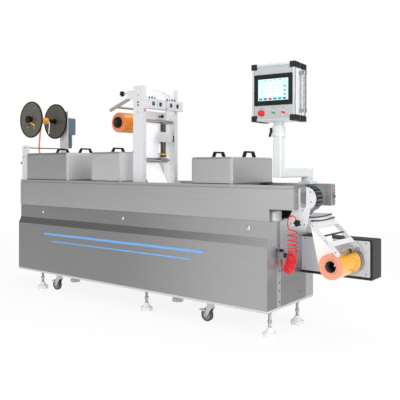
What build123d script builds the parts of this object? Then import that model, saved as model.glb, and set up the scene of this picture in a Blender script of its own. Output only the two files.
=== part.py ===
from build123d import *
import os
from math import atan2, cos, degrees, hypot, pi, radians, sin, sqrt, tan

os.makedirs("parts", exist_ok=True)

# Thermoforming packaging machine. While it is built, X=0 is the cabinet's right end,
# Y=0 its front face and Z=0 the floor. All sizes are in millimetres.

# Cabinet
CABINET_LENGTH = 2726.0
CABINET_DEPTH = 658.0
SHEET = 2.0
FLANGE_BOTTOM = 160.0
FLANGE_THICK = 16.0
PANEL_TOP = 597.0
CHAMFER_RISE = 55.0
CHAMFER_INSET = 25.0
BAND_TOP = 758.0
FRONT_RETURN = 128.0
REAR_RETURN = 48.0
POST_WIDTH = 42.0
REAR_POST_WIDTH = 67.0

# Side beams
BEAM_BOTTOM = 845.0
BEAM_TOP = 1000.0
BEAM_INSET = 19.0
BEAM_WIDTH = 67.0
BEAM_OVERHANG = 183.0
CAP_THICK = 15.0
CAP_GAP = 8.0
GROOVE_DEPTH = 8.0
UPPER_COVER_END = 5.0
UPPER_COVER_BOTTOM = 766.0
BEAM_BOLT_RADIUS = 5.0
BEAM_BOLT_HEIGHTS = (858.0, 900.0, 927.0, 968.0)
DECK_TOP = 940.0
DECK_SHEET = 4.0

# Latches on the band of the front and rear covers
LATCH_X = (341.0 - CABINET_LENGTH, -1352.0, -156.0)
LATCH_Z = 710.0
LATCH_RADIUS = 11.0
LATCH_PROUD = 4.0

# Levelling feet
FOOT_X = (286.0 - CABINET_LENGTH, -1130.0, -16.0)
FOOT_FRONT_Y = 60.0
FOOT_REAR_Y = CABINET_DEPTH - 218.0
PAD_RADIUS = 47.5
PAD_SKIRT = 25.0
PAD_HEIGHT = 60.0
PAD_NECK_RADIUS = 19.0
STEM_RADIUS = 10.0
STEM_DEPTH = 15.0
NUT_FLATS = 30.0
NUT_HEIGHT = 16.0
NUT_Z = 89.0

# Casters
CASTER_X = (502.0 - CABINET_LENGTH, -519.0)
CASTER_Y = (80.0, CABINET_DEPTH - 80.0)
CASTER_PLATE_SIZE = (95.0, 78.0)
WHEEL_RADIUS = 47.5
WHEEL_WIDTH = 32.0
WHEEL_LIFT = 8.0
CASTER_TRAIL = 30.0
CASTER_PLATE = 6.0
FORK_LEG = 4.0
AXLE_RADIUS = 6.0
KINGPIN_RADIUS = 7.0
SWIVEL_RADIUS = 27.0

# Fits
RUNNING_FIT = 0.05
FACE_GAP = 0.4
SIDE_GAP = 1.5
MOVING_GAP = 6.0

# Guard hoods: name, left, right, top, handle places
HOOD_SHEET = 3.0
HOOD_FRONT_Y = 51.0
HOOD_REAR_Y = CABINET_DEPTH - HOOD_FRONT_Y
HOOD_EDGE = 18.0
GUARDS = {
    "cutting": (
        46.0 - CABINET_LENGTH,
        645.0 - CABINET_LENGTH,
        BEAM_TOP + 248.0,
        (236.0 - CABINET_LENGTH, 566.0 - CABINET_LENGTH),
    ),
    "sealing": (-1772.0, -1416.0, BEAM_TOP + 245.0, (-1726.0, -1462.0)),
    "forming": (-679.0, -312.0, BEAM_TOP + 192.0, (-626.0, -352.0)),
}
HANDLE_LENGTH = 160.0
HANDLE_HEIGHT = 45.0
HANDLE_WIDTH = 22.0
HANDLE_BAR = 13.0
HANDLE_SLANT = 26.0

# Station heads under the hoods
HEAD_MARGIN = 45.0
HEAD_FRONT_Y = 139.0
HEAD_REAR_Y = CABINET_DEPTH - HEAD_FRONT_Y
HEAD_PLATE = 24.0
HEAD_BODY = 85.0
HEAD_STUD_RADIUS = 12.0
HEAD_CYLINDER_RADIUS = 48.0
HEAD_WAIST = 14.0
HEAD_STUD_INSET = 26.0
HEAD_UPPER = 60.0
HEAD_CLEARANCE = 26.0

# Gantry
POST_LEFT = -1307.0
POST_CHANNEL = 107.0
POST_DEEP = 40.0
POST_WALL = 4.0
POST_FRONT_Y = 91.0
POST_REAR_Y = CABINET_DEPTH - 137.0
TOP_ROLL_Z = 1495.0
GANTRY_TOP = TOP_ROLL_Z + 275.0
POST_HOLES = (
    (TOP_ROLL_Z + 200.0, 5.0),
    (TOP_ROLL_Z + 145.0, 9.0),
    (TOP_ROLL_Z + 120.0, 9.0),
    (TOP_ROLL_Z + 65.0, 5.0),
)
CREAM_PLATE = (TOP_ROLL_Z + 24.0, TOP_ROLL_Z + 89.0)
CROSS_PLATE = (TOP_ROLL_Z - 176.0, TOP_ROLL_Z - 95.0)
CROSS_THICK = 4.0
VALVE_BOTTOM = TOP_ROLL_Z + 92.0
VALVE_TOP = TOP_ROLL_Z + 170.0
VALVE_DEEP = 60.0
VALVE_MARGIN = 18.0
VALVE_BAR = 20.0
PORT_PLACES = (60.0, 140.0)
PORT_WIDTH = 28.0
PORT_DEPTH = 6.0
UPPER_ROLLER = (POST_LEFT + 45.0, TOP_ROLL_Z + 6.0, 16.0)
LOWER_ROLLER = (POST_LEFT + 17.0, TOP_ROLL_Z - 319.0, 21.0)
ROLLER_END_RADIUS = 6.0
TUBE_POST_X = POST_LEFT + 57.0
TUBE_POST_Y = POST_REAR_Y - 131.0
TUBE_POST_RADIUS = 22.5
TUBE_POST_BOTTOM = TOP_ROLL_Z - 295.0
TUBE_POST_TOP = TOP_ROLL_Z - 15.0
TUBE_RING_HEIGHT = 22.0
TUBE_RING_PROUD = 4.0
TUBE_CLAMP_HALF = 14.0

# Top film roll
TOP_ROLL_X = POST_LEFT - 242.0
TOP_ROLL_RADIUS = 84.5
TOP_ROLL_FRONT_Y = 165.0
ROLL_ARM_Y = POST_REAR_Y - 51.0
TOP_ROLL_REAR_Y = ROLL_ARM_Y - 25.0
CORE_RADIUS = 38.0
CORE_WALL = 7.0
SPINDLE_RADIUS = 12.0
CHUCK_RADIUS = 46.0
CHUCK_THICK = 14.0
CORE_PROUD = 6.0
ROLL_ARM_THICK = 12.0
ROLL_ARM_HEIGHT = 96.0
STIFFENER_REACH = 60.0
STIFFENER_THICK = 8.0

# Film guide arm
GUIDE_BAR_TOP = (POST_LEFT - 62.0, TOP_ROLL_Z + 180.0)
GUIDE_BAR_END = (TOP_ROLL_X - 38.0, TOP_ROLL_Z + 101.0)
GUIDE_BAR_WIDTH = 28.0
GUIDE_BAR_THICK = 8.0
GUIDE_BAR_Y = 106.0
GUIDE_BLOCK_LEFT = POST_LEFT - 77.0
GUIDE_BLOCK_Z = (TOP_ROLL_Z + 177.0, TOP_ROLL_Z + 244.0)
GUIDE_BLOCK_DEEP = 34.0
GUIDE_ROLLER_ALONG = 0.71
GUIDE_ROLLER_RADIUS = 11.0
TENSION_KNOB = (POST_LEFT - 135.0, TOP_ROLL_Z + 227.0)
KNOB_RADIUS = 22.5
KNOB_THICK = 18.0
KNOB_SHAFT_RADIUS = 5.0

# Trim winder
WINDER_X = -CABINET_LENGTH - 132.0
WINDER_Z = 1588.0
DISC_RADIUS = 180.0
DISC_THICK = 6.0
FRONT_DISC_Y = 230.0
REAR_DISC_Y = CABINET_DEPTH - 134.0
DISC_RIM_WIDTH = 8.0
DISC_RIM_PROUD = 2.0
DISC_SLOT_RADIUS = 95.0
DISC_SLOT_WIDTH = 22.0
DISC_SLOT_START = -125.0
DISC_SLOT_SWEEP = 60.0
WINDER_HUB_RADIUS = 32.0
WINDER_HUB_LENGTH = 185.0
WINDER_SHAFT_RADIUS = 12.0
WINDER_SLEEVE_RADIUS = 18.0
WINDER_COLLAR_RADIUS = 26.0
WINDER_COLLAR = 14.0
WINDER_KNOB_RADIUS = 36.0
WINDER_KNOB_THICK = 30.0
COLUMN_LEFT = WINDER_X - 32.0
COLUMN_RIGHT = 18.0 - CABINET_LENGTH
COLUMN_THICK = 8.0
COLUMN_TOP = WINDER_Z + 100.0
COLUMN_FOOT_RIGHT = 86.0 - CABINET_LENGTH
COLUMN_FOOT_LEFT = COLUMN_LEFT + 60.0
BRACKET_TOP = 1325.0
BRACKET_LEFT = -CABINET_LENGTH - 71.0
BRACKET_RIGHT = 29.0 - CABINET_LENGTH
BRACKET_STEP = 5.0
GUIDE_ROD_RADIUS = 5.0
GUIDE_ROD_DROP = 22.0
LOW_ROD_SHIFT = (-20.0, -90.0)
MOTOR_X = (-CABINET_LENGTH - 74.0, -CABINET_LENGTH - 2.0)
MOTOR_DEEP = 112.0
MOTOR_Z = (WINDER_Z - 138.0, WINDER_Z + 35.0)
MOTOR_TUBE_BOTTOM = WINDER_Z - 277.0
MOTOR_TUBE_RADIUS = 30.0
MOTOR_RINGS = 5
MOTOR_RING_PITCH = 18.0
MOTOR_RING_HEIGHT = 6.0
MOTOR_RING_PROUD = 4.0

# Right end bracket and chain band
BRACKET_THICK = 10.0
NOSE_X = 229.0
NOSE_Z = 920.0
NOSE_RADIUS = 75.0
SLOT_LEFT = 192.0
SLOT_RIGHT = 237.0
SLOT_BOTTOM = 855.0
SLOT_TOP = 1009.0
BRACKET_OUTLINE = (
    (134.0, 850.0),
    (134.0, 833.0),
    (112.0, 782.0),
    (117.0, 735.0),
    (236.0, 735.0),
    (252.0, 800.0),
    (262.0, 850.0),
    (NOSE_X + NOSE_RADIUS - 6.0, NOSE_Z - 20.0),
    (NOSE_X, NOSE_Z),
    (NOSE_X - 30.0, NOSE_Z + 60.0),
    (150.0, NOSE_Z + 60.0),
    (150.0, 850.0),
)
BAND_THICK = 5.0
BAND_WIDTH = 78.0
RIB_HEIGHT = 4.0
RIB_WIDTH = 6.0
RIB_PITCH = 13.0
BAND_LEAD = 79.0
BAND_SLOPE_END = (112.0, 742.0)
LINK_PITCH = 19.0
LINK_WIDTH = 13.0
LINK_PLATE = 3.0
LINK_PIN_RADIUS = 4.5
RIBBED_SHARE = 0.22
HEIGHT_KNOB = (196.0, 52.0, 763.0)
DRIVE_MOTOR_X = (22.0, 140.0)
DRIVE_MOTOR_Y = (190.0, 262.0)
DRIVE_MOTOR_Z = (BAND_TOP + 14.0, BEAM_BOTTOM - 7.0)
DRIVE_MOTOR_NECK = 22.0

# Bottom film unwinder
ARM_TOP = (222.0, 786.0)
ARM_END = (437.0, 576.0)
ARM_WIDTH = 30.0
ARM_THICK = 8.0
ARM_FRONT_Y = 116.0
DRIVE_FRONT_Y = CABINET_DEPTH - 178.0
BOTTOM_ROLL_FRONT_Y = 145.0
BOTTOM_ROLL_REAR_Y = DRIVE_FRONT_Y - 53.0
ARM_REAR_Y = BOTTOM_ROLL_REAR_Y + 19.0
ARM_REACH_HEIGHT = 30.0
ARM_STUD_RADIUS = 10.0
ARM_HOLES = (0.14, 0.2, 0.62, 0.68, 0.94)
ARM_HOLE_RADIUS = 4.0
CROSS_PLATES = ((0.03, 0.3), (0.7, 0.82))
CROSS_PLATE_THICK = 5.0
TIE_ROD_RADIUS = 6.0
GUIDE_ROLLER_PLACE = (252.0, 742.0)
GUIDE_ROLLER_FAT = 14.0
PRESS_SHAFT_RADIUS = 8.0
PRESS_WHEEL_RADIUS = 16.0
PRESS_WHEEL_WIDTH = 44.0
PRESS_CYLINDER_RADIUS = 14.0
PRESS_CYLINDER_LENGTH = 78.0
BOTTOM_ROLL_X = 379.0
BOTTOM_ROLL_Z = 490.0
BOTTOM_ROLL_RADIUS = 82.5
DRIVE_REAR_Y = CABINET_DEPTH - 18.0
DRIVE_RIGHT = 521.0
DRIVE_Z = (BOTTOM_ROLL_Z - 126.0, BOTTOM_ROLL_Z + 142.0)
DRIVE_PLATE = 6.0
DRIVE_CORNER = 9.0
DRIVE_PLATE_MARGIN = (16.0, 7.0, 20.0)
DRIVE_BORE_DEPTH = 30.0
CHUCK_FLANGE_RADIUS = 58.0
CHUCK_FLANGE_THICK = 12.0
CHUCK_WAIST = 8.0
CHUCK_WAIST_STEP = 9.0
CHUCK_REACH = 207.0
CHUCK_SHAFT_RADIUS = 15.0
FILM_THICK = 0.8

# Operator console
CONSOLE_X = 10.0
ARM_PIVOT_Y = CABINET_DEPTH - 115.0
COLUMN_Y = 136.0
SWIVEL_PLATE = 16.0
SWIVEL_PLATE_WIDTH = 96.0
SWIVEL_BASE_RADIUS = 42.0
SWIVEL_PIN_RADIUS = 14.0
SWIVEL_RIBS = 16
ARM_CENTRE_Z = BEAM_TOP + 80.0
ARM_SECTION = 62.0
ARM_CORNER = 12.0
COUPLING_BOTTOM = ARM_CENTRE_Z + 245.0
COUPLING_TOP = COUPLING_BOTTOM + 72.0
COUPLING_RADIUS = 43.5
COUPLING_GROOVE = 34.0
LEVER_UP = 50.0
LEVER_REACH = 22.0
LEVER_BOSS_RADIUS = 11.0
LEVER_GRIP = (12.0, 15.0, 58.0)
LEVER_TILT = 18.0
NECK_PIN_RADIUS = 16.0
NECK_RADIUS = 34.0
CONSOLE_BOTTOM = COUPLING_TOP + 30.0
CONSOLE_HEIGHT = 374.0
CONSOLE_TOP = CONSOLE_BOTTOM + CONSOLE_HEIGHT
CONSOLE_WIDTH = 306.0
CONSOLE_DEPTH = 186.0
CONSOLE_TURN = 5.5
PROFILE_SIDE = 14.0
HOUSING_INSET = 4.0
CORNER_CAP = 34.0
CORNER_CAP_DEEP = 82.0
CAP_PROUD = 4.0
SIDE_HANDLE_HEIGHT = CONSOLE_HEIGHT - 104.0
SIDE_HANDLE_REACH = 36.0
SIDE_HANDLE_BAR = 12.0
SIDE_HANDLE_HALF = 16.0
SIDE_HANDLE_FOOT = 22.0
BEZEL_WIDTH = CONSOLE_WIDTH - 36.0
BEZEL_HEIGHT = CONSOLE_HEIGHT - 170.0
BEZEL_THICK = 6.0
BEZEL_UP = 16.0
SCREEN_WIDTH = BEZEL_WIDTH - 52.0
SCREEN_HEIGHT = BEZEL_HEIGHT - 60.0
SCREEN_DEPTH = 2.0
BUTTONS = ((-86.0, 17.0), (1.0, 10.0), (73.0, 10.0))
BUTTON_UP = 51.0
BUTTON_PROUD = 9.0
BUTTON_RING = 3.0

# Air supply
HOSE_RADIUS = 4.0
COIL_X = 150.0
COIL_Y = 66.0
COIL_RADIUS = 36.0
COIL_TOP = 716.0
COIL_AXIS = (
    (COIL_X, COIL_Y, COIL_TOP),
    (COIL_X, COIL_Y, 560.0),
    (141.0, 68.0, 492.0),
    (105.0, 84.0, 452.0),
)
REGULATOR_SIDE = 45.0
REGULATOR_BOTTOM = 505.0
REGULATOR_TOP = REGULATOR_BOTTOM + 49.0
FITTING_RADIUS = 8.0
FITTING_LENGTH = 20.0


pieces = {}


def block(x, y, z):
    """A box between two X, two Y and two Z values."""
    size = [hi - lo for lo, hi in (x, y, z)]
    middle = [(lo + hi) / 2 for lo, hi in (x, y, z)]
    return Pos(*middle) * Box(*size)


def rod_y(x, z, y_from, y_to, radius):
    """A round bar along Y."""
    turn = Pos(x, (y_from + y_to) / 2, z) * Rot(90, 0, 0)
    return turn * Cylinder(radius, y_to - y_from)


def rod_x(y, z, x_from, x_to, radius):
    """A round bar along X."""
    turn = Pos((x_from + x_to) / 2, y, z) * Rot(0, 90, 0)
    return turn * Cylinder(radius, x_to - x_from)


def rod_z(x, y, z_from, z_to, radius):
    """A round bar along Z."""
    return Pos(x, y, (z_from + z_to) / 2) * Cylinder(radius, z_to - z_from)


def along_x(points, x_from, x_to):
    """A closed outline of (y, z) points, carried from one X to another."""
    face = make_face(Polyline(*[(x_from, y, z) for y, z in points], close=True))
    return Solid.extrude(face.face(), Vector(x_to - x_from, 0, 0))


def along_y(points, y_from, y_to):
    """A closed outline of (x, z) points, carried from one Y to another."""
    face = make_face(Polyline(*[(x, y_from, z) for x, z in points], close=True))
    return Solid.extrude(face.face(), Vector(0, y_to - y_from, 0))


def strip(points, thick):
    """The outline of a thin strip that follows the points, with its thickness to their left."""
    count = len(points)
    steps = [(points[i + 1][0] - points[i][0], points[i + 1][1] - points[i][1]) for i in range(count - 1)]
    normals = [(-dz / hypot(dx, dz), dx / hypot(dx, dz)) for dx, dz in steps]
    far = []
    for i, (x, z) in enumerate(points):
        before = normals[max(i - 1, 0)]
        after = normals[min(i, count - 2)]
        nx = before[0] + after[0]
        nz = before[1] + after[1]
        scale = thick * 2 / (nx * nx + nz * nz)
        far.append((x + nx * scale, z + nz * scale))
    return points + far[::-1]


def fuse(parts):
    """One solid from pieces that overlap or touch."""
    whole = parts[0]
    for part in parts[1:]:
        whole = whole + part
    return whole


def mirror_depth(shape):
    """The same shape on the other side of the cabinet's middle plane along X."""
    middle = Plane(origin=(0, CABINET_DEPTH / 2, 0), z_dir=(0, 1, 0))
    return mirror(shape, about=middle)


def star_knob(radius, thick, lobes=5):
    """A clamping knob on Z, with finger hollows round its edge."""
    body = Cylinder(radius, thick, align=(Align.CENTER, Align.CENTER, Align.MIN))
    hollow = radius * 0.42
    for i in range(lobes):
        angle = 2 * pi * i / lobes
        cutter = Cylinder(hollow, thick, align=(Align.CENTER, Align.CENTER, Align.MIN))
        body = body - Pos(radius * 1.18 * cos(angle), radius * 1.18 * sin(angle), 0) * cutter
    boss = Cylinder(radius * 0.45, thick * 0.4, align=(Align.CENTER, Align.CENTER, Align.MAX))
    return body + boss


# Cabinet
panel_bottom = FLANGE_BOTTOM + FLANGE_THICK
chamfer_top = PANEL_TOP + CHAMFER_RISE


def side_profile(inset):
    """The front edge of the cabinet from the flange up to the band, moved inwards."""
    slope = CHAMFER_INSET / CHAMFER_RISE
    lean = inset * (sqrt(1 + slope * slope) - 1) / slope
    return [
        (inset, panel_bottom),
        (inset, PANEL_TOP + lean),
        (CHAMFER_INSET + inset, chamfer_top + lean),
        (CHAMFER_INSET + inset, BAND_TOP),
    ]


def make_cabinet_frame():
    front = side_profile(SHEET)
    shoulder = BEAM_INSET + SHEET
    front += [(CHAMFER_INSET + SHEET, UPPER_COVER_BOTTOM), (shoulder, UPPER_COVER_BOTTOM)]
    front += [(shoulder, BEAM_BOTTOM)]
    rear = [(CABINET_DEPTH - y, z) for y, z in front]
    core = along_x(front + rear[::-1], -CABINET_LENGTH + SHEET, -SHEET)
    flange = block((-CABINET_LENGTH, 0), (0, CABINET_DEPTH), (FLANGE_BOTTOM, panel_bottom))
    top = block(
        (-CABINET_LENGTH, 0),
        (shoulder, CABINET_DEPTH - shoulder),
        (UPPER_COVER_BOTTOM, BEAM_BOTTOM),
    )
    parts = [core, flange, top]
    for x in ((-SHEET, 0), (-CABINET_LENGTH, -CABINET_LENGTH + SHEET)):
        post = (FRONT_RETURN, FRONT_RETURN + POST_WIDTH)
        rear_post = (CABINET_DEPTH - REAR_RETURN - REAR_POST_WIDTH, CABINET_DEPTH - REAR_RETURN)
        for y in (post, rear_post):
            parts.append(block(x, y, (panel_bottom, BAND_TOP)))
    for x in CASTER_X:
        for y in CASTER_Y:
            plate = Pos(x, y, FLANGE_BOTTOM - CASTER_PLATE / 2) * Box(*CASTER_PLATE_SIZE, CASTER_PLATE)
            parts.append(plate)
    frame = fuse(parts)
    for x in CASTER_X:
        for y in CASTER_Y:
            pocket = rod_z(x, y, FLANGE_BOTTOM - CASTER_PLATE, FLANGE_BOTTOM, KINGPIN_RADIUS + RUNNING_FIT)
            frame = frame - pocket
    return frame


def make_cover(return_depth):
    """One long cover: a bent skin with returns round both ends, and its latches."""
    skin = along_x(side_profile(0) + side_profile(SHEET)[::-1], -CABINET_LENGTH, 0)
    parts = [skin]
    for x in ((-SHEET, 0), (-CABINET_LENGTH, -CABINET_LENGTH + SHEET)):
        end = side_profile(0) + [(return_depth, BAND_TOP), (return_depth, panel_bottom)]
        parts.append(along_x(end, *x))
    for x in LATCH_X:
        parts.append(rod_y(x, LATCH_Z, CHAMFER_INSET - LATCH_PROUD, CHAMFER_INSET, LATCH_RADIUS))
    return fuse(parts)


def make_end_panels():
    y = (FRONT_RETURN + POST_WIDTH, CABINET_DEPTH - REAR_RETURN - REAR_POST_WIDTH)
    z = (panel_bottom, BAND_TOP)
    right = block((-SHEET, 0), y, z)
    left = block((-CABINET_LENGTH, -CABINET_LENGTH + SHEET), y, z)
    return Compound(children=[right, left])


# Side beams, covers and deck
beam_front = BEAM_INSET + SHEET
beam_rear = BEAM_INSET + BEAM_WIDTH
groove_bottom = BEAM_TOP - CAP_THICK - CAP_GAP


def make_beam():
    profile = [
        (beam_front, BEAM_BOTTOM),
        (beam_rear, BEAM_BOTTOM),
        (beam_rear, BEAM_TOP),
        (BEAM_INSET, BEAM_TOP),
        (BEAM_INSET, BEAM_TOP - CAP_THICK),
        (beam_front + GROOVE_DEPTH, BEAM_TOP - CAP_THICK),
        (beam_front + GROOVE_DEPTH, groove_bottom),
        (beam_front, groove_bottom),
    ]
    beam = along_x(profile, -CABINET_LENGTH, BEAM_OVERHANG)
    middle = (beam_front + beam_rear) / 2
    for z in BEAM_BOLT_HEIGHTS:
        beam = beam - rod_x(middle, z, BEAM_OVERHANG - 10, BEAM_OVERHANG, BEAM_BOLT_RADIUS)
    return beam


def make_upper_cover():
    skin = (BEAM_INSET, BEAM_INSET + SHEET)
    long_part = block((-CABINET_LENGTH, UPPER_COVER_END), skin, (UPPER_COVER_BOTTOM, groove_bottom))
    step = block((UPPER_COVER_END, BEAM_OVERHANG), skin, (BEAM_BOTTOM, groove_bottom))
    return long_part + step


def make_deck():
    y = (beam_rear, CABINET_DEPTH - beam_rear)
    whole = block((-CABINET_LENGTH, 0), y, (BEAM_BOTTOM, DECK_TOP))
    inside = block(
        (-CABINET_LENGTH + DECK_SHEET, -DECK_SHEET),
        (y[0] + DECK_SHEET, y[1] - DECK_SHEET),
        (BEAM_BOTTOM, DECK_TOP - DECK_SHEET),
    )
    return whole - inside


# Feet and casters
def foot_places():
    """The middle of each levelling foot."""
    return [(x, y) for x in FOOT_X for y in (FOOT_FRONT_Y, FOOT_REAR_Y)]


def make_foot_pad():
    outline = [
        (0, 0),
        (PAD_RADIUS, 0),
        (PAD_RADIUS - 2, PAD_SKIRT),
        (PAD_RADIUS * 0.7, PAD_SKIRT + 6),
        (PAD_NECK_RADIUS, PAD_HEIGHT - 8),
        (PAD_NECK_RADIUS - 2, PAD_HEIGHT),
        (STEM_RADIUS, PAD_HEIGHT),
        (STEM_RADIUS, PAD_HEIGHT - STEM_DEPTH),
        (0, PAD_HEIGHT - STEM_DEPTH),
    ]
    face = make_face(Polyline(*[(x, 0, z) for x, z in outline], close=True))
    return revolve(face, axis=Axis.Z)


def make_foot_stem():
    stem = rod_z(0, 0, PAD_HEIGHT - STEM_DEPTH, FLANGE_BOTTOM, STEM_RADIUS)
    nut = Pos(0, 0, NUT_Z) * extrude(RegularPolygon(NUT_FLATS / 2, 6, major_radius=False), NUT_HEIGHT)
    lock = Pos(0, 0, FLANGE_BOTTOM - 10) * extrude(RegularPolygon(NUT_FLATS / 2, 6, major_radius=False), 10)
    return stem + nut + lock


def make_caster_fork():
    axle_z = WHEEL_LIFT + WHEEL_RADIUS
    crown_bottom = axle_z + WHEEL_RADIUS + MOVING_GAP
    top = FLANGE_BOTTOM - CASTER_PLATE - FACE_GAP
    inside = WHEEL_WIDTH / 2 + SIDE_GAP
    leg = [
        (-24, crown_bottom + 5),
        (24, crown_bottom + 5),
        (-CASTER_TRAIL + 12, axle_z - 10),
        (-CASTER_TRAIL - 12, axle_z - 10),
    ]
    parts = [block((-28, 28), (-inside - FORK_LEG, inside + FORK_LEG), (crown_bottom, crown_bottom + 5))]
    for side in (-1, 1):
        y = sorted((side * inside, side * (inside + FORK_LEG)))
        parts.append(along_y(leg, y[0], y[1]))
    parts.append(rod_z(0, 0, crown_bottom, top, SWIVEL_RADIUS))
    parts.append(rod_z(0, 0, top - 12, FLANGE_BOTTOM - 2, KINGPIN_RADIUS))
    fork = fuse(parts)
    reach = inside + FORK_LEG + 5
    return fork + rod_y(-CASTER_TRAIL, axle_z, -reach, reach, AXLE_RADIUS)


def make_caster_wheel():
    axle_z = WHEEL_LIFT + WHEEL_RADIUS
    half = WHEEL_WIDTH / 2
    outline = [
        (AXLE_RADIUS + RUNNING_FIT, -half),
        (18, -half),
        (20, -half + 5),
        (34, -half + 5),
        (36, -half),
        (WHEEL_RADIUS - 5, -half),
        (WHEEL_RADIUS, -half + 6),
        (WHEEL_RADIUS, half - 6),
        (WHEEL_RADIUS - 5, half),
        (36, half),
        (34, half - 5),
        (20, half - 5),
        (18, half),
        (AXLE_RADIUS + RUNNING_FIT, half),
    ]
    face = make_face(Polyline(*[(x, 0, z) for x, z in outline], close=True))
    wheel = revolve(face, axis=Axis.Z)
    return Pos(-CASTER_TRAIL, 0, axle_z) * Rot(90, 0, 0) * wheel


# Guards and what is under them
def make_guard(left, right, top):
    outer = block((left, right), (HOOD_FRONT_Y, HOOD_REAR_Y), (BEAM_TOP, top))
    edges = outer.edges().filter_by(Axis.Z) + outer.faces().sort_by(Axis.Z)[-1].edges()
    outer = fillet(edges, HOOD_EDGE)
    inner = block(
        (left + HOOD_SHEET, right - HOOD_SHEET),
        (HOOD_FRONT_Y + HOOD_SHEET, HOOD_REAR_Y - HOOD_SHEET),
        (BEAM_TOP, top - HOOD_SHEET),
    )
    edges = inner.edges().filter_by(Axis.Z) + inner.faces().sort_by(Axis.Z)[-1].edges()
    inner = fillet(edges, HOOD_EDGE - HOOD_SHEET)
    return outer - inner


def make_bridge_handle(x, top):
    half = HANDLE_LENGTH / 2
    rise = HANDLE_HEIGHT
    bar = HANDLE_BAR
    slant = HANDLE_SLANT
    outline = [
        (-half, 0),
        (-half + slant, rise),
        (half - slant, rise),
        (half, 0),
        (half - bar * 1.5, 0),
        (half - slant - bar * 0.7, rise - bar),
        (-half + slant + bar * 0.7, rise - bar),
        (-half + bar * 1.5, 0),
    ]
    middle = (HOOD_FRONT_Y + HOOD_REAR_Y) / 2
    return along_x([(middle + y, top + z) for y, z in outline], x - HANDLE_WIDTH / 2, x + HANDLE_WIDTH / 2)


def make_station_head(left, right, top):
    x = (left + HEAD_MARGIN, right - HEAD_MARGIN)
    y = (HEAD_FRONT_Y, HEAD_REAR_Y)
    upper = BEAM_TOP + HEAD_UPPER
    waist = HEAD_WAIST
    inset = HEAD_STUD_INSET
    parts = [
        block(x, y, (DECK_TOP, DECK_TOP + HEAD_PLATE)),
        block((x[0] + waist, x[1] - waist), (y[0] + waist, y[1] - waist), (DECK_TOP + HEAD_PLATE, upper)),
        block(x, y, (upper, upper + HEAD_PLATE)),
    ]
    for sx in (x[0] + inset, x[1] - inset):
        for sy in (y[0] + inset, y[1] - inset):
            parts.append(rod_z(sx, sy, upper, upper + HEAD_PLATE * 2, HEAD_STUD_RADIUS))
    middle = ((x[0] + x[1]) / 2, (y[0] + y[1]) / 2)
    head_top = min(upper + HEAD_BODY, top - HOOD_SHEET - HEAD_CLEARANCE)
    parts.append(rod_z(*middle, upper, head_top, HEAD_CYLINDER_RADIUS))
    return fuse(parts)


# Gantry
def make_post():
    right = POST_LEFT + POST_CHANNEL
    y = POST_FRONT_Y
    web = block((POST_LEFT, right), (y, y + POST_WALL), (DECK_TOP, GANTRY_TOP))
    left_leg = block((POST_LEFT, POST_LEFT + POST_WALL), (y, y + POST_DEEP), (DECK_TOP, GANTRY_TOP))
    right_leg = block((right - POST_WALL, right), (y, y + POST_DEEP), (DECK_TOP, GANTRY_TOP))
    spacer = block((POST_LEFT, right), (beam_rear, y), (DECK_TOP, BEAM_TOP - 5))
    post = web + left_leg + right_leg + spacer
    middle = (POST_LEFT + right) / 2
    for z, radius in POST_HOLES:
        post = post - rod_y(middle, z, y, y + POST_WALL, radius)
    return post


def gantry_mirror(shape):
    """The same shape at the other post."""
    middle = Plane(origin=(0, (POST_FRONT_Y + POST_REAR_Y) / 2, 0), z_dir=(0, 1, 0))
    return mirror(shape, about=middle)


def make_gantry_frame():
    front = make_post()
    rear_y = CABINET_DEPTH - beam_rear
    rear = gantry_mirror(front)
    tie = block((POST_LEFT, POST_LEFT + POST_CHANNEL), (POST_REAR_Y, rear_y), (DECK_TOP, BEAM_TOP - 5))
    span = (POST_FRONT_Y + POST_DEEP - 10, POST_REAR_Y - POST_DEEP + 10)
    cream_x = (POST_LEFT + POST_WALL, POST_LEFT + POST_WALL + CROSS_THICK)
    cream = block(cream_x, span, CREAM_PLATE)
    cross = block((POST_LEFT - CROSS_THICK, POST_LEFT), (POST_FRONT_Y, POST_REAR_Y), CROSS_PLATE)
    arm_z = (TOP_ROLL_Z - ROLL_ARM_HEIGHT / 2, TOP_ROLL_Z + ROLL_ARM_HEIGHT / 2)
    arm_y = (ROLL_ARM_Y, ROLL_ARM_Y + ROLL_ARM_THICK)
    arm = block((TOP_ROLL_X, POST_LEFT), arm_y, arm_z)
    arm = arm + rod_y(TOP_ROLL_X, TOP_ROLL_Z, *arm_y, ROLL_ARM_HEIGHT / 2)
    arm = arm - rod_y(TOP_ROLL_X, TOP_ROLL_Z, *arm_y, SPINDLE_RADIUS + RUNNING_FIT)
    stiffener_z = (arm_z[0], arm_z[0] + STIFFENER_THICK)
    stiffener = block((POST_LEFT - STIFFENER_REACH, POST_LEFT), (ROLL_ARM_Y, POST_REAR_Y), stiffener_z)
    return fuse([front, rear, tie, cream, cross, arm, stiffener])


def make_valve_block():
    """Two valve bodies on one bar, each with a row of ports in its face."""
    x = (POST_LEFT + POST_CHANNEL, POST_LEFT + POST_CHANNEL + VALVE_DEEP)
    middle = (POST_FRONT_Y + POST_REAR_Y) / 2
    z = (VALVE_BOTTOM, VALVE_TOP)
    ends = (POST_FRONT_Y + POST_WALL, POST_REAR_Y - POST_WALL * 2)
    first = block(x, (ends[0], middle - POST_WALL), z)
    second = block(x, (middle + POST_WALL, ends[1]), z)
    bar = block((x[0], x[0] + VALVE_BAR), ends, (z[0] + PORT_DEPTH, z[1] - PORT_DEPTH))
    body = first + second + bar
    port_x = (x[1] - PORT_DEPTH, x[1])
    port_z = (z[0] + VALVE_MARGIN, z[1] - VALVE_MARGIN)
    for start in (POST_FRONT_Y, middle):
        for place in PORT_PLACES:
            y = start + place
            body = body - block(port_x, (y - PORT_WIDTH / 2, y + PORT_WIDTH / 2), port_z)
    return body


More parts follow.
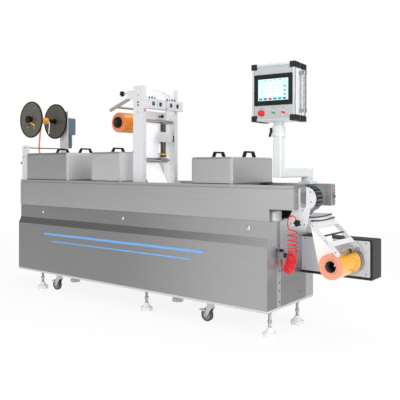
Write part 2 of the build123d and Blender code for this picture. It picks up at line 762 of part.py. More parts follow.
def make_tube_post():
    """An upright tube with a foot ring, held by a clamp from the rear post."""
    place = (TUBE_POST_X, TUBE_POST_Y)
    tube = rod_z(*place, TUBE_POST_BOTTOM, TUBE_POST_TOP, TUBE_POST_RADIUS)
    ring_top = TUBE_POST_BOTTOM + TUBE_RING_HEIGHT
    ring = rod_z(*place, TUBE_POST_BOTTOM, ring_top, TUBE_POST_RADIUS + TUBE_RING_PROUD)
    clamp_z = (CROSS_PLATE[0] + TUBE_CLAMP_HALF, CROSS_PLATE[1] - TUBE_CLAMP_HALF)
    clamp_x = (TUBE_POST_X - TUBE_CLAMP_HALF, TUBE_POST_X + TUBE_CLAMP_HALF)
    clamp = block(clamp_x, (TUBE_POST_Y, POST_REAR_Y - POST_WALL), clamp_z)
    return tube + ring + clamp


def make_film_roll(place, y, core_y, radius):
    """A roll of film on its core, about an axis along Y."""
    body = rod_y(*place, *y, radius)
    core = rod_y(*place, *core_y, CORE_RADIUS + CORE_WALL)
    return body + core - rod_y(*place, *core_y, CORE_RADIUS)


def make_top_spindle():
    """The top roll's expanding mandrel, with a chuck at each end."""
    front = TOP_ROLL_FRONT_Y - CORE_PROUD
    rear = TOP_ROLL_REAR_Y + CORE_PROUD
    face = front - CHUCK_THICK
    x, z = TOP_ROLL_X, TOP_ROLL_Z
    parts = [
        rod_y(x, z, front, rear, CORE_RADIUS),
        rod_y(x, z, face, front, CHUCK_RADIUS),
        rod_y(x, z, face - SPINDLE_RADIUS, face, CHUCK_RADIUS / 2),
        rod_y(x, z, rear, rear + CHUCK_THICK / 2, CHUCK_RADIUS),
        rod_y(x, z, rear, ROLL_ARM_Y + ROLL_ARM_THICK + CORE_PROUD, SPINDLE_RADIUS),
    ]
    return fuse(parts)


def guide_bar_point(share):
    """A point along the film guide bar, from its top (0) to its end (1)."""
    (x0, z0), (x1, z1) = GUIDE_BAR_TOP, GUIDE_BAR_END
    return (x0 + (x1 - x0) * share, z0 + (z1 - z0) * share)


def bar_between(start, end, width, y_from, y_to):
    """A flat bar with round ends between two (x, z) points."""
    x0, z0 = start
    x1, z1 = end
    length = hypot(x1 - x0, z1 - z0)
    angle = degrees(atan2(z1 - z0, x1 - x0))
    place = Pos((x0 + x1) / 2, y_to, (z0 + z1) / 2) * Rot(90, 0, 0) * Rot(0, 0, angle)
    return place * extrude(SlotCenterToCenter(length, width), y_to - y_from)


def make_guide_arm():
    y = (GUIDE_BAR_Y, GUIDE_BAR_Y + GUIDE_BAR_THICK)
    bar = bar_between(GUIDE_BAR_TOP, GUIDE_BAR_END, GUIDE_BAR_WIDTH, *y)
    clamp_y = (POST_FRONT_Y + 2, POST_FRONT_Y + 2 + GUIDE_BLOCK_DEEP)
    clamp = block((GUIDE_BLOCK_LEFT, POST_LEFT), clamp_y, GUIDE_BLOCK_Z)
    knob_x, knob_z = TENSION_KNOB
    knob_y = (clamp_y[0] + clamp_y[1]) / 2
    shaft = rod_x(knob_y, knob_z, knob_x + KNOB_THICK * 0.4, GUIDE_BLOCK_LEFT, KNOB_SHAFT_RADIUS)
    return fuse([bar, clamp, shaft])


def make_guide_rollers():
    """The film's guide rollers and the press wheel, each with its own shaft."""
    x, z = guide_bar_point(GUIDE_ROLLER_ALONG)
    bar_rear = GUIDE_BAR_Y + GUIDE_BAR_THICK
    arm_inside = ARM_FRONT_Y + ARM_THICK
    inside = (POST_FRONT_Y + POST_WALL, POST_REAR_Y - POST_WALL)
    legs = (POST_FRONT_Y + POST_DEEP, POST_REAR_Y - POST_DEEP)
    low_x, low_z, low_radius = LOWER_ROLLER
    lower = rod_y(low_x, low_z, *legs, low_radius) + rod_y(low_x, low_z, *inside, ROLLER_END_RADIUS)
    wheel_y = (ARM_FRONT_Y + ARM_REAR_Y + ARM_THICK) / 2
    wheel = (wheel_y - PRESS_WHEEL_WIDTH / 2, wheel_y + PRESS_WHEEL_WIDTH / 2)
    press = rod_y(*ARM_END, arm_inside, ARM_REAR_Y, PRESS_SHAFT_RADIUS)
    press = press + rod_y(*ARM_END, *wheel, PRESS_WHEEL_RADIUS)
    cylinder = (ARM_REAR_Y - PRESS_CYLINDER_LENGTH, ARM_REAR_Y)
    press = press + rod_y(*ARM_END, *cylinder, PRESS_CYLINDER_RADIUS)
    rollers = [
        rod_y(x, z, bar_rear, TOP_ROLL_REAR_Y - CORE_PROUD, GUIDE_ROLLER_RADIUS),
        rod_y(UPPER_ROLLER[0], UPPER_ROLLER[1], *inside, UPPER_ROLLER[2]),
        lower,
        rod_y(*GUIDE_ROLLER_PLACE, arm_inside, ARM_REAR_Y, GUIDE_ROLLER_FAT),
        press,
    ]
    return Compound(children=rollers)


def make_star_knobs():
    knob = star_knob(KNOB_RADIUS, KNOB_THICK)
    knob_y = POST_FRONT_Y + 2 + GUIDE_BLOCK_DEEP / 2
    tension = Pos(TENSION_KNOB[0], knob_y, TENSION_KNOB[1]) * Rot(0, -90, 0) * knob
    x, y, z = HEIGHT_KNOB
    height = Pos(x, y, z) * Rot(90, 0, 0) * knob
    return Compound(children=[tension, height])


# Trim winder
def make_winder_column():
    """The winder's rear plate, the two low brackets and the two rods between them."""
    inner = CABINET_DEPTH - beam_rear
    y = (inner - COLUMN_THICK, inner)
    step_top = BEAM_TOP - BRACKET_STEP
    outline = [
        (COLUMN_FOOT_LEFT, DECK_TOP),
        (COLUMN_FOOT_RIGHT, DECK_TOP),
        (COLUMN_FOOT_RIGHT, step_top),
        (COLUMN_RIGHT, step_top),
        (COLUMN_RIGHT, COLUMN_TOP),
        (COLUMN_LEFT + 20, COLUMN_TOP),
        (COLUMN_LEFT, COLUMN_TOP - 20),
        (COLUMN_LEFT, WINDER_Z - 60),
        (COLUMN_FOOT_LEFT, WINDER_Z - 140),
    ]
    shaft_hole = rod_y(WINDER_X, WINDER_Z, *y, WINDER_SHAFT_RADIUS + RUNNING_FIT)
    plate = along_y(outline, *y) - shaft_hole
    bracket = [
        (BRACKET_LEFT, DECK_TOP),
        (COLUMN_FOOT_RIGHT, DECK_TOP),
        (COLUMN_FOOT_RIGHT, step_top),
        (BRACKET_RIGHT, step_top),
        (BRACKET_RIGHT, BRACKET_TOP),
        (BRACKET_LEFT + 10, BRACKET_TOP),
        (BRACKET_LEFT, BRACKET_TOP - 10),
    ]
    parts = [plate, along_y(bracket, y[0] - COLUMN_THICK, y[0])]
    rod_x_place = (BRACKET_LEFT + BRACKET_RIGHT) / 2
    rod_z_place = BRACKET_TOP - GUIDE_ROD_DROP
    for shift_x, shift_z in ((0, 0), LOW_ROD_SHIFT):
        span = (beam_rear + COLUMN_THICK, y[0] - COLUMN_THICK)
        parts.append(rod_y(rod_x_place + shift_x, rod_z_place + shift_z, *span, GUIDE_ROD_RADIUS))
    parts.append(along_y(bracket, beam_rear, beam_rear + COLUMN_THICK))
    return fuse(parts)


def make_gearmotors():
    """The winder's upright gearmotor behind its plate, and the drive motor on the cabinet's end."""
    rear_face = CABINET_DEPTH - beam_rear
    gearbox = block(MOTOR_X, (rear_face, rear_face + MOTOR_DEEP), MOTOR_Z)
    gearbox = fillet(gearbox.edges().filter_by(Axis.Y), 14)
    place = (sum(MOTOR_X) / 2, rear_face + MOTOR_DEEP / 2)
    motor = rod_z(*place, MOTOR_TUBE_BOTTOM, MOTOR_Z[0], MOTOR_TUBE_RADIUS)
    first_ring = MOTOR_TUBE_BOTTOM + MOTOR_RING_PITCH * 2
    for i in range(MOTOR_RINGS):
        z = first_ring + i * MOTOR_RING_PITCH
        motor = motor + rod_z(*place, z, z + MOTOR_RING_HEIGHT, MOTOR_TUBE_RADIUS + MOTOR_RING_PROUD)
    winder = gearbox + motor
    body = block(DRIVE_MOTOR_X, DRIVE_MOTOR_Y, DRIVE_MOTOR_Z)
    body = fillet(body.edges().filter_by(Axis.X), 10)
    middle = (sum(DRIVE_MOTOR_Y) / 2, sum(DRIVE_MOTOR_Z) / 2)
    neck = rod_x(*middle, 0, DRIVE_MOTOR_X[0], DRIVE_MOTOR_NECK)
    return Compound(children=[winder, body + neck])


def make_winder_discs():
    """Two discs with raised rims. The front one has a short curved slot for the trim's end."""
    discs = []
    for y in (FRONT_DISC_Y, REAR_DISC_Y):
        disc = rod_y(WINDER_X, WINDER_Z, y, y + DISC_THICK, DISC_RADIUS)
        rim_y = (y - DISC_RIM_PROUD, y + DISC_THICK + DISC_RIM_PROUD)
        rim = rod_y(WINDER_X, WINDER_Z, *rim_y, DISC_RADIUS)
        rim = rim - rod_y(WINDER_X, WINDER_Z, *rim_y, DISC_RADIUS - DISC_RIM_WIDTH)
        discs.append(disc + rim - rod_y(WINDER_X, WINDER_Z, y, y + DISC_THICK, WINDER_SHAFT_RADIUS))
    arc = CenterArc((0, 0), DISC_SLOT_RADIUS, DISC_SLOT_START, DISC_SLOT_SWEEP)
    face = Sketch() + SlotArc(arc, DISC_SLOT_WIDTH)
    place = Pos(WINDER_X, FRONT_DISC_Y + DISC_THICK, WINDER_Z) * Rot(90, 0, 0)
    discs[0] = discs[0] - place * extrude(face, DISC_THICK)
    return Compound(children=discs)


def make_winder_spool():
    """The winder's shaft, with a long hub behind the front disc and a knob before it."""
    x, z = WINDER_X, WINDER_Z
    knob_front = FRONT_DISC_Y - WINDER_COLLAR - WINDER_KNOB_THICK
    hub_start = FRONT_DISC_Y + DISC_THICK
    hub_end = hub_start + WINDER_HUB_LENGTH
    knob = star_knob(WINDER_KNOB_RADIUS, WINDER_KNOB_THICK)
    knob = Pos(x, FRONT_DISC_Y - WINDER_COLLAR, z) * Rot(90, 0, 0) * knob
    parts = [
        rod_y(x, z, knob_front, CABINET_DEPTH - beam_rear + DISC_THICK, WINDER_SHAFT_RADIUS),
        rod_y(x, z, hub_start, hub_end, WINDER_HUB_RADIUS),
        rod_y(x, z, hub_end, REAR_DISC_Y - WINDER_COLLAR, WINDER_SLEEVE_RADIUS),
        rod_y(x, z, REAR_DISC_Y - WINDER_COLLAR, REAR_DISC_Y, WINDER_COLLAR_RADIUS),
        rod_y(x, z, FRONT_DISC_Y - WINDER_COLLAR, FRONT_DISC_Y, WINDER_COLLAR_RADIUS),
        knob,
    ]
    return fuse(parts)


# Right end
bracket_front = beam_rear
bracket_rear = beam_rear + BRACKET_THICK
band_y = (bracket_rear, bracket_rear + BAND_WIDTH)


def make_end_bracket():
    nose = rod_y(NOSE_X, NOSE_Z, bracket_front, bracket_rear, NOSE_RADIUS)
    plate = along_y(BRACKET_OUTLINE, bracket_front, bracket_rear)
    slot_width = SLOT_RIGHT - SLOT_LEFT
    middle = (SLOT_LEFT + SLOT_RIGHT) / 2
    low = SLOT_BOTTOM + slot_width / 2
    slot = block((SLOT_LEFT, SLOT_RIGHT), (bracket_front, bracket_rear), (low, SLOT_TOP))
    slot = slot + rod_y(middle, low, bracket_front, bracket_rear, slot_width / 2)
    x, y, z = HEIGHT_KNOB
    rod = rod_y(x, z, y + KNOB_THICK * 0.4, bracket_front, KNOB_SHAFT_RADIUS)
    return fuse([nose, plate]) - slot + rod


def band_path():
    """The chain band's line: over the nose, round it and down to the left, as (x, z) points."""
    x1, z1 = BAND_SLOPE_END
    radius = NOSE_RADIUS + 1
    distance = hypot(x1 - NOSE_X, z1 - NOSE_Z)
    to_end = atan2(z1 - NOSE_Z, x1 - NOSE_X)
    leave = to_end + atan2(sqrt(distance * distance - radius * radius), radius)
    return radius, leave


def band_slope():
    """The straight run down from the nose: its start, unit direction, outward normal and length."""
    radius, leave = band_path()
    out = (cos(leave), sin(leave))
    start = (NOSE_X + radius * out[0], NOSE_Z + radius * out[1])
    run = (BAND_SLOPE_END[0] - start[0], BAND_SLOPE_END[1] - start[1])
    length = hypot(*run)
    return start, (run[0] / length, run[1] / length), out, length


def along_slope(distance, outward):
    """A point on the slope, so far down it and so far out from its inner face."""
    start, unit, out, _ = band_slope()
    return tuple(start[i] + unit[i] * distance + out[i] * outward for i in (0, 1))


def make_chain_band():
    """A ribbed band along the top, round the nose and over the first part of the slope."""
    radius, leave = band_path()
    length = band_slope()[3]
    middle_y = sum(band_y) / 2
    outer = radius + BAND_THICK
    ring = rod_y(NOSE_X, NOSE_Z, *band_y, outer) - rod_y(NOSE_X, NOSE_Z, *band_y, radius)
    far = 2 * outer
    sector = [
        (NOSE_X, NOSE_Z),
        (NOSE_X, NOSE_Z + far),
        (NOSE_X + far, NOSE_Z + far),
        (NOSE_X + far, NOSE_Z - far),
        (NOSE_X + far * cos(leave), NOSE_Z + far * sin(leave)),
    ]
    ribbed = length * RIBBED_SHARE
    ends = ((0, 0), (ribbed, 0), (ribbed, BAND_THICK), (0, BAND_THICK))
    slope = [along_slope(*end) for end in ends]
    lead = block((NOSE_X - BAND_LEAD, NOSE_X), band_y, (NOSE_Z + radius, NOSE_Z + outer))
    parts = [ring & along_y(sector, *band_y), along_y(slope, *band_y), lead]
    rib = Box(RIB_HEIGHT + 1, BAND_WIDTH, RIB_WIDTH)
    sweep = pi / 2 - leave
    count = int(sweep * outer / RIB_PITCH)
    away = outer + RIB_HEIGHT / 2 - 0.5
    for i in range(count + 1):
        angle = pi / 2 - i * sweep / count
        place = Pos(NOSE_X + away * cos(angle), middle_y, NOSE_Z + away * sin(angle))
        parts.append(place * Rot(0, -degrees(angle), 0) * rib)
    return fuse(parts)


def make_drive_chain():
    """The open links below the ribbed band, each pair of plates lapping the one before it."""
    length = band_slope()[3]
    ribbed = length * RIBBED_SHARE
    links = int((length - ribbed) / LINK_PITCH)
    mid = BAND_THICK / 2
    first = ribbed + LINK_WIDTH / 2
    parts = []
    for i in range(links):
        here = along_slope(first + LINK_PITCH * i, mid)
        there = along_slope(first + LINK_PITCH * (i + 1), mid)
        step = LINK_PLATE * (i % 2)
        for edge in (band_y[0] + step, band_y[1] - LINK_PLATE - step):
            parts.append(bar_between(here, there, LINK_WIDTH, edge, edge + LINK_PLATE))
        parts.append(rod_y(*there, *band_y, LINK_PIN_RADIUS))
    parts.append(rod_y(*along_slope(first, mid), *band_y, LINK_PIN_RADIUS))
    return fuse(parts)


# Bottom film unwinder
def along_arm(share):
    """A point on the line of the unwinder's arms, from their top (0) to their end (1)."""
    return (ARM_TOP[0] + (ARM_END[0] - ARM_TOP[0]) * share, ARM_TOP[1] + (ARM_END[1] - ARM_TOP[1]) * share)


def make_unwinder_arms():
    """Two slanting arms joined by cross plates and a tie rod, on a stud and a rail from the cabinet."""
    span = (ARM_FRONT_Y, ARM_REAR_Y + ARM_THICK)
    arms = []
    for y in (ARM_FRONT_Y, ARM_REAR_Y):
        arm = bar_between(ARM_TOP, ARM_END, ARM_WIDTH, y, y + ARM_THICK)
        for share in ARM_HOLES:
            arm = arm - rod_y(*along_arm(share), y, y + ARM_THICK, ARM_HOLE_RADIUS)
        arms.append(arm)
    parts = [arms[0], arms[1]]
    parts.append(rod_y(*ARM_TOP, bracket_rear, ARM_FRONT_Y, ARM_STUD_RADIUS))
    reach_z = (ARM_TOP[1] - ARM_REACH_HEIGHT / 2, ARM_TOP[1] + ARM_REACH_HEIGHT / 2)
    parts.append(block((0, ARM_TOP[0]), (ARM_REAR_Y, ARM_REAR_Y + ARM_THICK), reach_z))
    for first, last in CROSS_PLATES:
        parts.append(bar_cross_plate(along_arm(first), along_arm(last), span))
    parts.append(rod_y(*along_arm(0.5), *span, TIE_ROD_RADIUS))
    return fuse(parts)


def bar_cross_plate(start, end, y):
    """A flat plate between the arms, along their line from one point to another."""
    length = hypot(end[0] - start[0], end[1] - start[1])
    rise = (-(end[1] - start[1]) / length, (end[0] - start[0]) / length)
    shift = ARM_WIDTH / 2 - CROSS_PLATE_THICK
    low = [(p[0] + rise[0] * shift, p[1] + rise[1] * shift) for p in (start, end)]
    high = [(p[0] + rise[0] * CROSS_PLATE_THICK, p[1] + rise[1] * CROSS_PLATE_THICK) for p in low]
    return along_y([low[0], low[1], high[1], high[0]], *y)


def make_unwind_drive():
    """The drive's housing, with a smaller plate on its front face."""
    left, right, low = DRIVE_PLATE_MARGIN
    plate_y = (DRIVE_FRONT_Y, DRIVE_FRONT_Y + DRIVE_PLATE)
    plate = block((0, DRIVE_RIGHT - left), plate_y, (DRIVE_Z[0] + low, DRIVE_Z[1] - right))
    corners = plate.edges().filter_by(Axis.Y).group_by(Axis.X)[-1]
    plate = fillet(corners, DRIVE_CORNER)
    body = block((0, DRIVE_RIGHT), (plate_y[1], DRIVE_REAR_Y), DRIVE_Z)
    corners = body.edges().filter_by(Axis.Y).group_by(Axis.X)[-1]
    body = fillet(corners, DRIVE_CORNER)
    bore_y = (plate_y[0], plate_y[1] + DRIVE_BORE_DEPTH)
    return plate + body - rod_y(BOTTOM_ROLL_X, BOTTOM_ROLL_Z, *bore_y, CHUCK_SHAFT_RADIUS + RUNNING_FIT)


def make_bottom_chuck():
    """The bottom roll's mandrel, its two flanges and the shaft into the drive."""
    place = (BOTTOM_ROLL_X, BOTTOM_ROLL_Z)
    roll_end = BOTTOM_ROLL_REAR_Y
    waist = (roll_end + CHUCK_FLANGE_THICK, roll_end + CHUCK_FLANGE_THICK + CHUCK_WAIST)
    rear = DRIVE_FRONT_Y - MOVING_GAP
    shaft_end = DRIVE_FRONT_Y + DRIVE_PLATE + DRIVE_BORE_DEPTH - MOVING_GAP
    parts = [
        rod_y(*place, roll_end - CHUCK_REACH, roll_end, CORE_RADIUS),
        rod_y(*place, roll_end, waist[0], CHUCK_FLANGE_RADIUS),
        rod_y(*place, *waist, CHUCK_FLANGE_RADIUS - CHUCK_WAIST_STEP),
        rod_y(*place, waist[1], rear, CHUCK_FLANGE_RADIUS),
        rod_y(*place, rear, shaft_end, CHUCK_SHAFT_RADIUS),
    ]
    return fuse(parts)


def tangent_left(place, radius, other, other_radius):
    """The straight line that touches two circles on their left sides, as two (x, z) points."""
    dx = other[0] - place[0]
    dz = other[1] - place[1]
    distance = hypot(dx, dz)
    heading = atan2(dz, dx)
    normal = heading + pi / 2 + atan2(radius - other_radius, distance) * -1
    if cos(normal) > 0:
        normal = heading - pi / 2 + atan2(radius - other_radius, distance)
    unit = (cos(normal), sin(normal))
    return (
        (place[0] + radius * unit[0], place[1] + radius * unit[1]),
        (other[0] + other_radius * unit[0], other[1] + other_radius * unit[1]),
    )


def make_bottom_web():
    roll = (BOTTOM_ROLL_X, BOTTOM_ROLL_Z)
    low, high = tangent_left(roll, BOTTOM_ROLL_RADIUS + FACE_GAP, GUIDE_ROLLER_PLACE, GUIDE_ROLLER_FAT)
    y = (BOTTOM_ROLL_FRONT_Y + 5, BOTTOM_ROLL_REAR_Y - 5)
    return along_y(strip([low, high], FILM_THICK), *y)


def make_top_web():
    upper = (UPPER_ROLLER[0], UPPER_ROLLER[1])
    lower = (LOWER_ROLLER[0], LOWER_ROLLER[1])
    first, second = tangent_left(upper, UPPER_ROLLER[2], lower, LOWER_ROLLER[2])
    deck_point = (POST_LEFT + POST_CHANNEL + 20, DECK_TOP)
    dx = deck_point[0] - lower[0]
    dz = deck_point[1] - lower[1]
    distance = hypot(dx, dz)
    leave = atan2(dz, dx) - atan2(sqrt(distance**2 - LOWER_ROLLER[2] ** 2), LOWER_ROLLER[2])
    third = (lower[0] + LOWER_ROLLER[2] * cos(leave), lower[1] + LOWER_ROLLER[2] * sin(leave))
    arrive = atan2(second[1] - lower[1], second[0] - lower[0])
    half = ((leave - arrive) % (2 * pi)) / 2
    reach = LOWER_ROLLER[2] / cos(half)
    corner = (lower[0] + reach * cos(arrive + half), lower[1] + reach * sin(arrive + half))
    sealing_right = GUARDS["sealing"][1]
    lying = (sealing_right - 30, DECK_TOP)
    y = (TOP_ROLL_FRONT_Y, TOP_ROLL_REAR_Y - 50)
    side = strip([lying, deck_point, third, corner, second, first], FILM_THICK)
    return along_y(side, *y)


# Operator console
def make_console_base():
    x, y = CONSOLE_X, ARM_PIVOT_Y
    half = SWIVEL_PLATE_WIDTH / 2
    plate_y = (y - half + 2, y + half + 30)
    plate = block((x - half, x + half), plate_y, (BEAM_TOP, BEAM_TOP + SWIVEL_PLATE))
    plate = fillet(plate.edges().filter_by(Axis.Z), 10)
    top = ARM_CENTRE_Z - ARM_SECTION / 2 - FACE_GAP
    radius = SWIVEL_BASE_RADIUS - 4
    drum = rod_z(x, y, BEAM_TOP + SWIVEL_PLATE, top, radius)
    height = (BEAM_TOP + SWIVEL_PLATE + top - 4) / 2
    rib = Pos(radius, 0, 0) * Box(8, 4, top - BEAM_TOP - SWIVEL_PLATE - 4)
    for i in range(SWIVEL_RIBS):
        drum = drum + Pos(x, y, height) * Rot(0, 0, 360 * i / SWIVEL_RIBS) * rib
    pin = rod_z(x, y, top, top + 12, SWIVEL_PIN_RADIUS)
    return plate + drum + pin


def make_console_arm():
    x = CONSOLE_X
    half = ARM_SECTION / 2
    pivot = rod_z(x, ARM_PIVOT_Y, ARM_CENTRE_Z - half, ARM_CENTRE_Z + half, SWIVEL_BASE_RADIUS)
    section = RectangleRounded(ARM_SECTION, ARM_SECTION, ARM_CORNER)
    bend = (x, COLUMN_Y, ARM_CENTRE_Z)
    path = Polyline((x, ARM_PIVOT_Y, ARM_CENTRE_Z), bend, (x, COLUMN_Y, COUPLING_BOTTOM))
    start = Plane(origin=(x, ARM_PIVOT_Y, ARM_CENTRE_Z), z_dir=(0, -1, 0))
    tube = sweep(start * section, path=path, transition=Transition.RIGHT)
    coupling = rod_z(x, COLUMN_Y, COUPLING_BOTTOM, COUPLING_TOP, COUPLING_RADIUS)
    groove_z = (COUPLING_BOTTOM + COUPLING_GROOVE, COUPLING_BOTTOM + COUPLING_GROOVE + 4)
    groove = rod_z(x, COLUMN_Y, *groove_z, COUPLING_RADIUS)
    groove = groove - rod_z(x, COLUMN_Y, *groove_z, COUPLING_RADIUS - 3)
    arm = pivot + tube + coupling - groove
    low = ARM_CENTRE_Z - half
    hole = rod_z(x, ARM_PIVOT_Y, low, low + 13, SWIVEL_PIN_RADIUS + RUNNING_FIT)
    pin = rod_z(x, COLUMN_Y, COUPLING_TOP, COUPLING_TOP + 14, NECK_PIN_RADIUS)
    return arm - hole + pin


def make_clamp_lever():
    x, y = CONSOLE_X, COLUMN_Y
    z = COUPLING_BOTTOM + LEVER_UP
    start = x - COUPLING_RADIUS
    boss = rod_x(y, z, start - LEVER_REACH, start + 1, LEVER_BOSS_RADIUS)
    boss = boss - rod_z(x, y, z - LEVER_BOSS_RADIUS * 2, z + LEVER_BOSS_RADIUS * 2, COUPLING_RADIUS)
    grip = Pos(start - LEVER_REACH + 3, y, z - LEVER_REACH) * Rot(0, LEVER_TILT, 0) * Box(*LEVER_GRIP)
    grip = fillet(grip.edges().filter_by(Axis.Y), 4)
    return boss + grip


def turn_console(shape):
    """The console's own frame: front towards -Y, turned about the column."""
    return Pos(CONSOLE_X, COLUMN_Y, 0) * Rot(0, 0, CONSOLE_TURN) * shape


half_width = CONSOLE_WIDTH / 2
half_depth = CONSOLE_DEPTH / 2


def make_neck():
    bottom = COUPLING_TOP + FACE_GAP
    neck = rod_z(0, 0, bottom, CONSOLE_BOTTOM, NECK_RADIUS)
    collar = rod_z(0, 0, CONSOLE_BOTTOM - 8, CONSOLE_BOTTOM, NECK_RADIUS + 8)
    hole = rod_z(0, 0, bottom, COUPLING_TOP + 15, NECK_PIN_RADIUS + RUNNING_FIT)
    return turn_console(neck + collar - hole)


def housing_space():
    """The space inside the console's profiles, which the housing fills."""
    inset = HOUSING_INSET
    x = (-half_width + inset, half_width - inset)
    y = (-half_depth + inset, half_depth - inset)
    return block(x, y, (CONSOLE_BOTTOM, CONSOLE_TOP - inset))


def console_edges():
    """The console's four upright and eight level profile runs as (x, y, z) ranges."""
    p = PROFILE_SIDE
    x = (-half_width, half_width)
    y = (-half_depth, half_depth)
    z = (CONSOLE_BOTTOM, CONSOLE_TOP)
    xs = ((x[0], x[0] + p), (x[1] - p, x[1]))
    ys = ((y[0], y[0] + p), (y[1] - p, y[1]))
    zs = ((z[0], z[0] + p), (z[1] - p, z[1]))
    runs = [(a, b, z) for a in xs for b in ys]
    runs += [(x, b, c) for b in ys for c in zs]
    runs += [(a, y, c) for a in xs for c in zs]
    return runs


def make_console_frame():
    """The profiles round the console's edges and the two side handles."""
    frame = fuse([block(*run) for run in console_edges()]) - housing_space()
    for cap in corner_caps():
        frame = frame - cap
    parts = [frame]
    middle = (CONSOLE_BOTTOM + CONSOLE_TOP) / 2
    half = SIDE_HANDLE_HEIGHT / 2
    y = (-SIDE_HANDLE_HALF, SIDE_HANDLE_HALF)
    for side in (-1, 1):
        face = side * half_width
        tip = face + side * SIDE_HANDLE_REACH
        x = sorted((face - side * HOUSING_INSET, tip))
        bar = sorted((tip - side * SIDE_HANDLE_BAR, tip))
        parts.append(block(bar, y, (middle - half, middle + half)))
        for z in (middle - half, middle + half - SIDE_HANDLE_FOOT):
            parts.append(block(x, y, (z, z + SIDE_HANDLE_FOOT)))
    return turn_console(fuse(parts))


def corner_caps():
    """The eight black corner blocks, each as a solid in the console's own frame."""
    caps = []
    levels = (
        (CONSOLE_BOTTOM - CAP_PROUD, CONSOLE_BOTTOM + CORNER_CAP),
        (CONSOLE_TOP - CORNER_CAP, CONSOLE_TOP + CAP_PROUD),
    )
    for sx in (-1, 1):
        for sy in (-1, 1):
            x = sorted((sx * (half_width + CAP_PROUD), sx * (half_width - CORNER_CAP)))
            y = sorted((sy * (half_depth + CAP_PROUD), sy * (half_depth - CORNER_CAP_DEEP)))
            caps += [block(x, y, z) for z in levels]
    return caps


def make_console_corners():
    return Compound(children=[turn_console(cap - housing_space()) for cap in corner_caps()])


def make_terminal():
    """The operator terminal: a bezel with a sunk screen."""
    middle = (CONSOLE_BOTTOM + CONSOLE_TOP) / 2 + BEZEL_UP
    rear = -half_depth + HOUSING_INSET
    front = rear - BEZEL_THICK
    bezel_z = (middle - BEZEL_HEIGHT / 2, middle + BEZEL_HEIGHT / 2)
    bezel = block((-BEZEL_WIDTH / 2, BEZEL_WIDTH / 2), (front, rear), bezel_z)
    bezel = fillet(bezel.edges().filter_by(Axis.Y), 5)
    screen_z = (middle - SCREEN_HEIGHT / 2, middle + SCREEN_HEIGHT / 2)
    screen = block((-SCREEN_WIDTH / 2, SCREEN_WIDTH / 2), (front, front + SCREEN_DEPTH), screen_z)
    return turn_console(bezel - screen)


def make_push_buttons():
    """The stop button and the two push buttons, each in its ring."""
    z = CONSOLE_BOTTOM + BUTTON_UP
    face = -half_depth + HOUSING_INSET
    buttons = []
    for x, radius in BUTTONS:
        button = rod_y(x, z, face - BUTTON_PROUD, face, radius)
        ring = rod_y(x, z, face - BUTTON_RING, face, radius + BUTTON_RING)
        buttons.append(turn_console(button + ring))
    return Compound(children=buttons)


# Air supply
HOSE_TOP_ROUTE = [
    (121, 66, COIL_TOP),
    (114, 65, 748),
    (119, 64, 786),
    (134, 63, 806),
    (160, 64, 807),
    (176, 65, 789),
    (179, 66, 767),
]
HOSE_TAIL_ROUTE = [
    (91, 102, 473),
    (80, 108, 446),
    (58, 122, 428),
    (34, 141, 430),
    (23, 149, 446),
    (23, 149, 465),
]


def make_regulator():
    middle_y = FRONT_RETURN + POST_WIDTH / 2
    y = (middle_y - REGULATOR_SIDE / 2, middle_y + REGULATOR_SIDE / 2)
    middle = sum(y) / 2
    body = block((0, REGULATOR_SIDE), y, (REGULATOR_BOTTOM, REGULATOR_TOP))
    body = fillet(body.edges().filter_by(Axis.Z), 5)
    knob = rod_z(REGULATOR_SIDE / 2, middle, REGULATOR_TOP, REGULATOR_TOP + 16, 14)
    end = HOSE_TAIL_ROUTE[-1]
    elbow = rod_z(end[0], end[1], end[2] + 0.2, REGULATOR_BOTTOM, FITTING_RADIUS)
    return body + knob + elbow


def make_hose_fitting():
    """An elbow on the bracket plate, with its mouth upwards."""
    x, y, top = HOSE_TOP_ROUTE[-1]
    low = top - FITTING_LENGTH / 2
    stub = rod_y(x, low, y, bracket_front, FITTING_RADIUS)
    mouth = rod_z(x, y, low - FITTING_RADIUS, top - 0.2, FITTING_RADIUS)
    return stub + mouth


def tube_along(points):
    """A round tube along straight runs joined by arcs as large as the runs allow."""
    vectors = [Vector(*p) for p in points]
    radii = []
    for a, b, c in zip(vectors, vectors[1:], vectors[2:]):
        turn = radians((b - a).get_angle(c - b))
        radii.append(0.45 * min((b - a).length, (c - b).length) / tan(turn / 2))
    print("hose radii", [round(r, 1) for r in radii])
    path = FilletPolyline(*points, radius=radii)
    start = Plane(origin=points[0], z_dir=vectors[1] - vectors[0])
    tube = sweep(start * Circle(HOSE_RADIUS), path=path)
    share = tube.volume / (pi * HOSE_RADIUS**2 * path.length)
    print("tube length", round(path.length, 1), "volume share", round(share, 4))
    return tube


def make_hose_coil():
    """The coil as one round body along its bent axis."""
    axis = Spline(*COIL_AXIS, tangents=((0, 0, -1), (-0.75, 0.33, -0.57)))
    start = Plane(origin=COIL_AXIS[0], z_dir=(0, 0, -1))
    return sweep(start * Circle(COIL_RADIUS), path=axis)


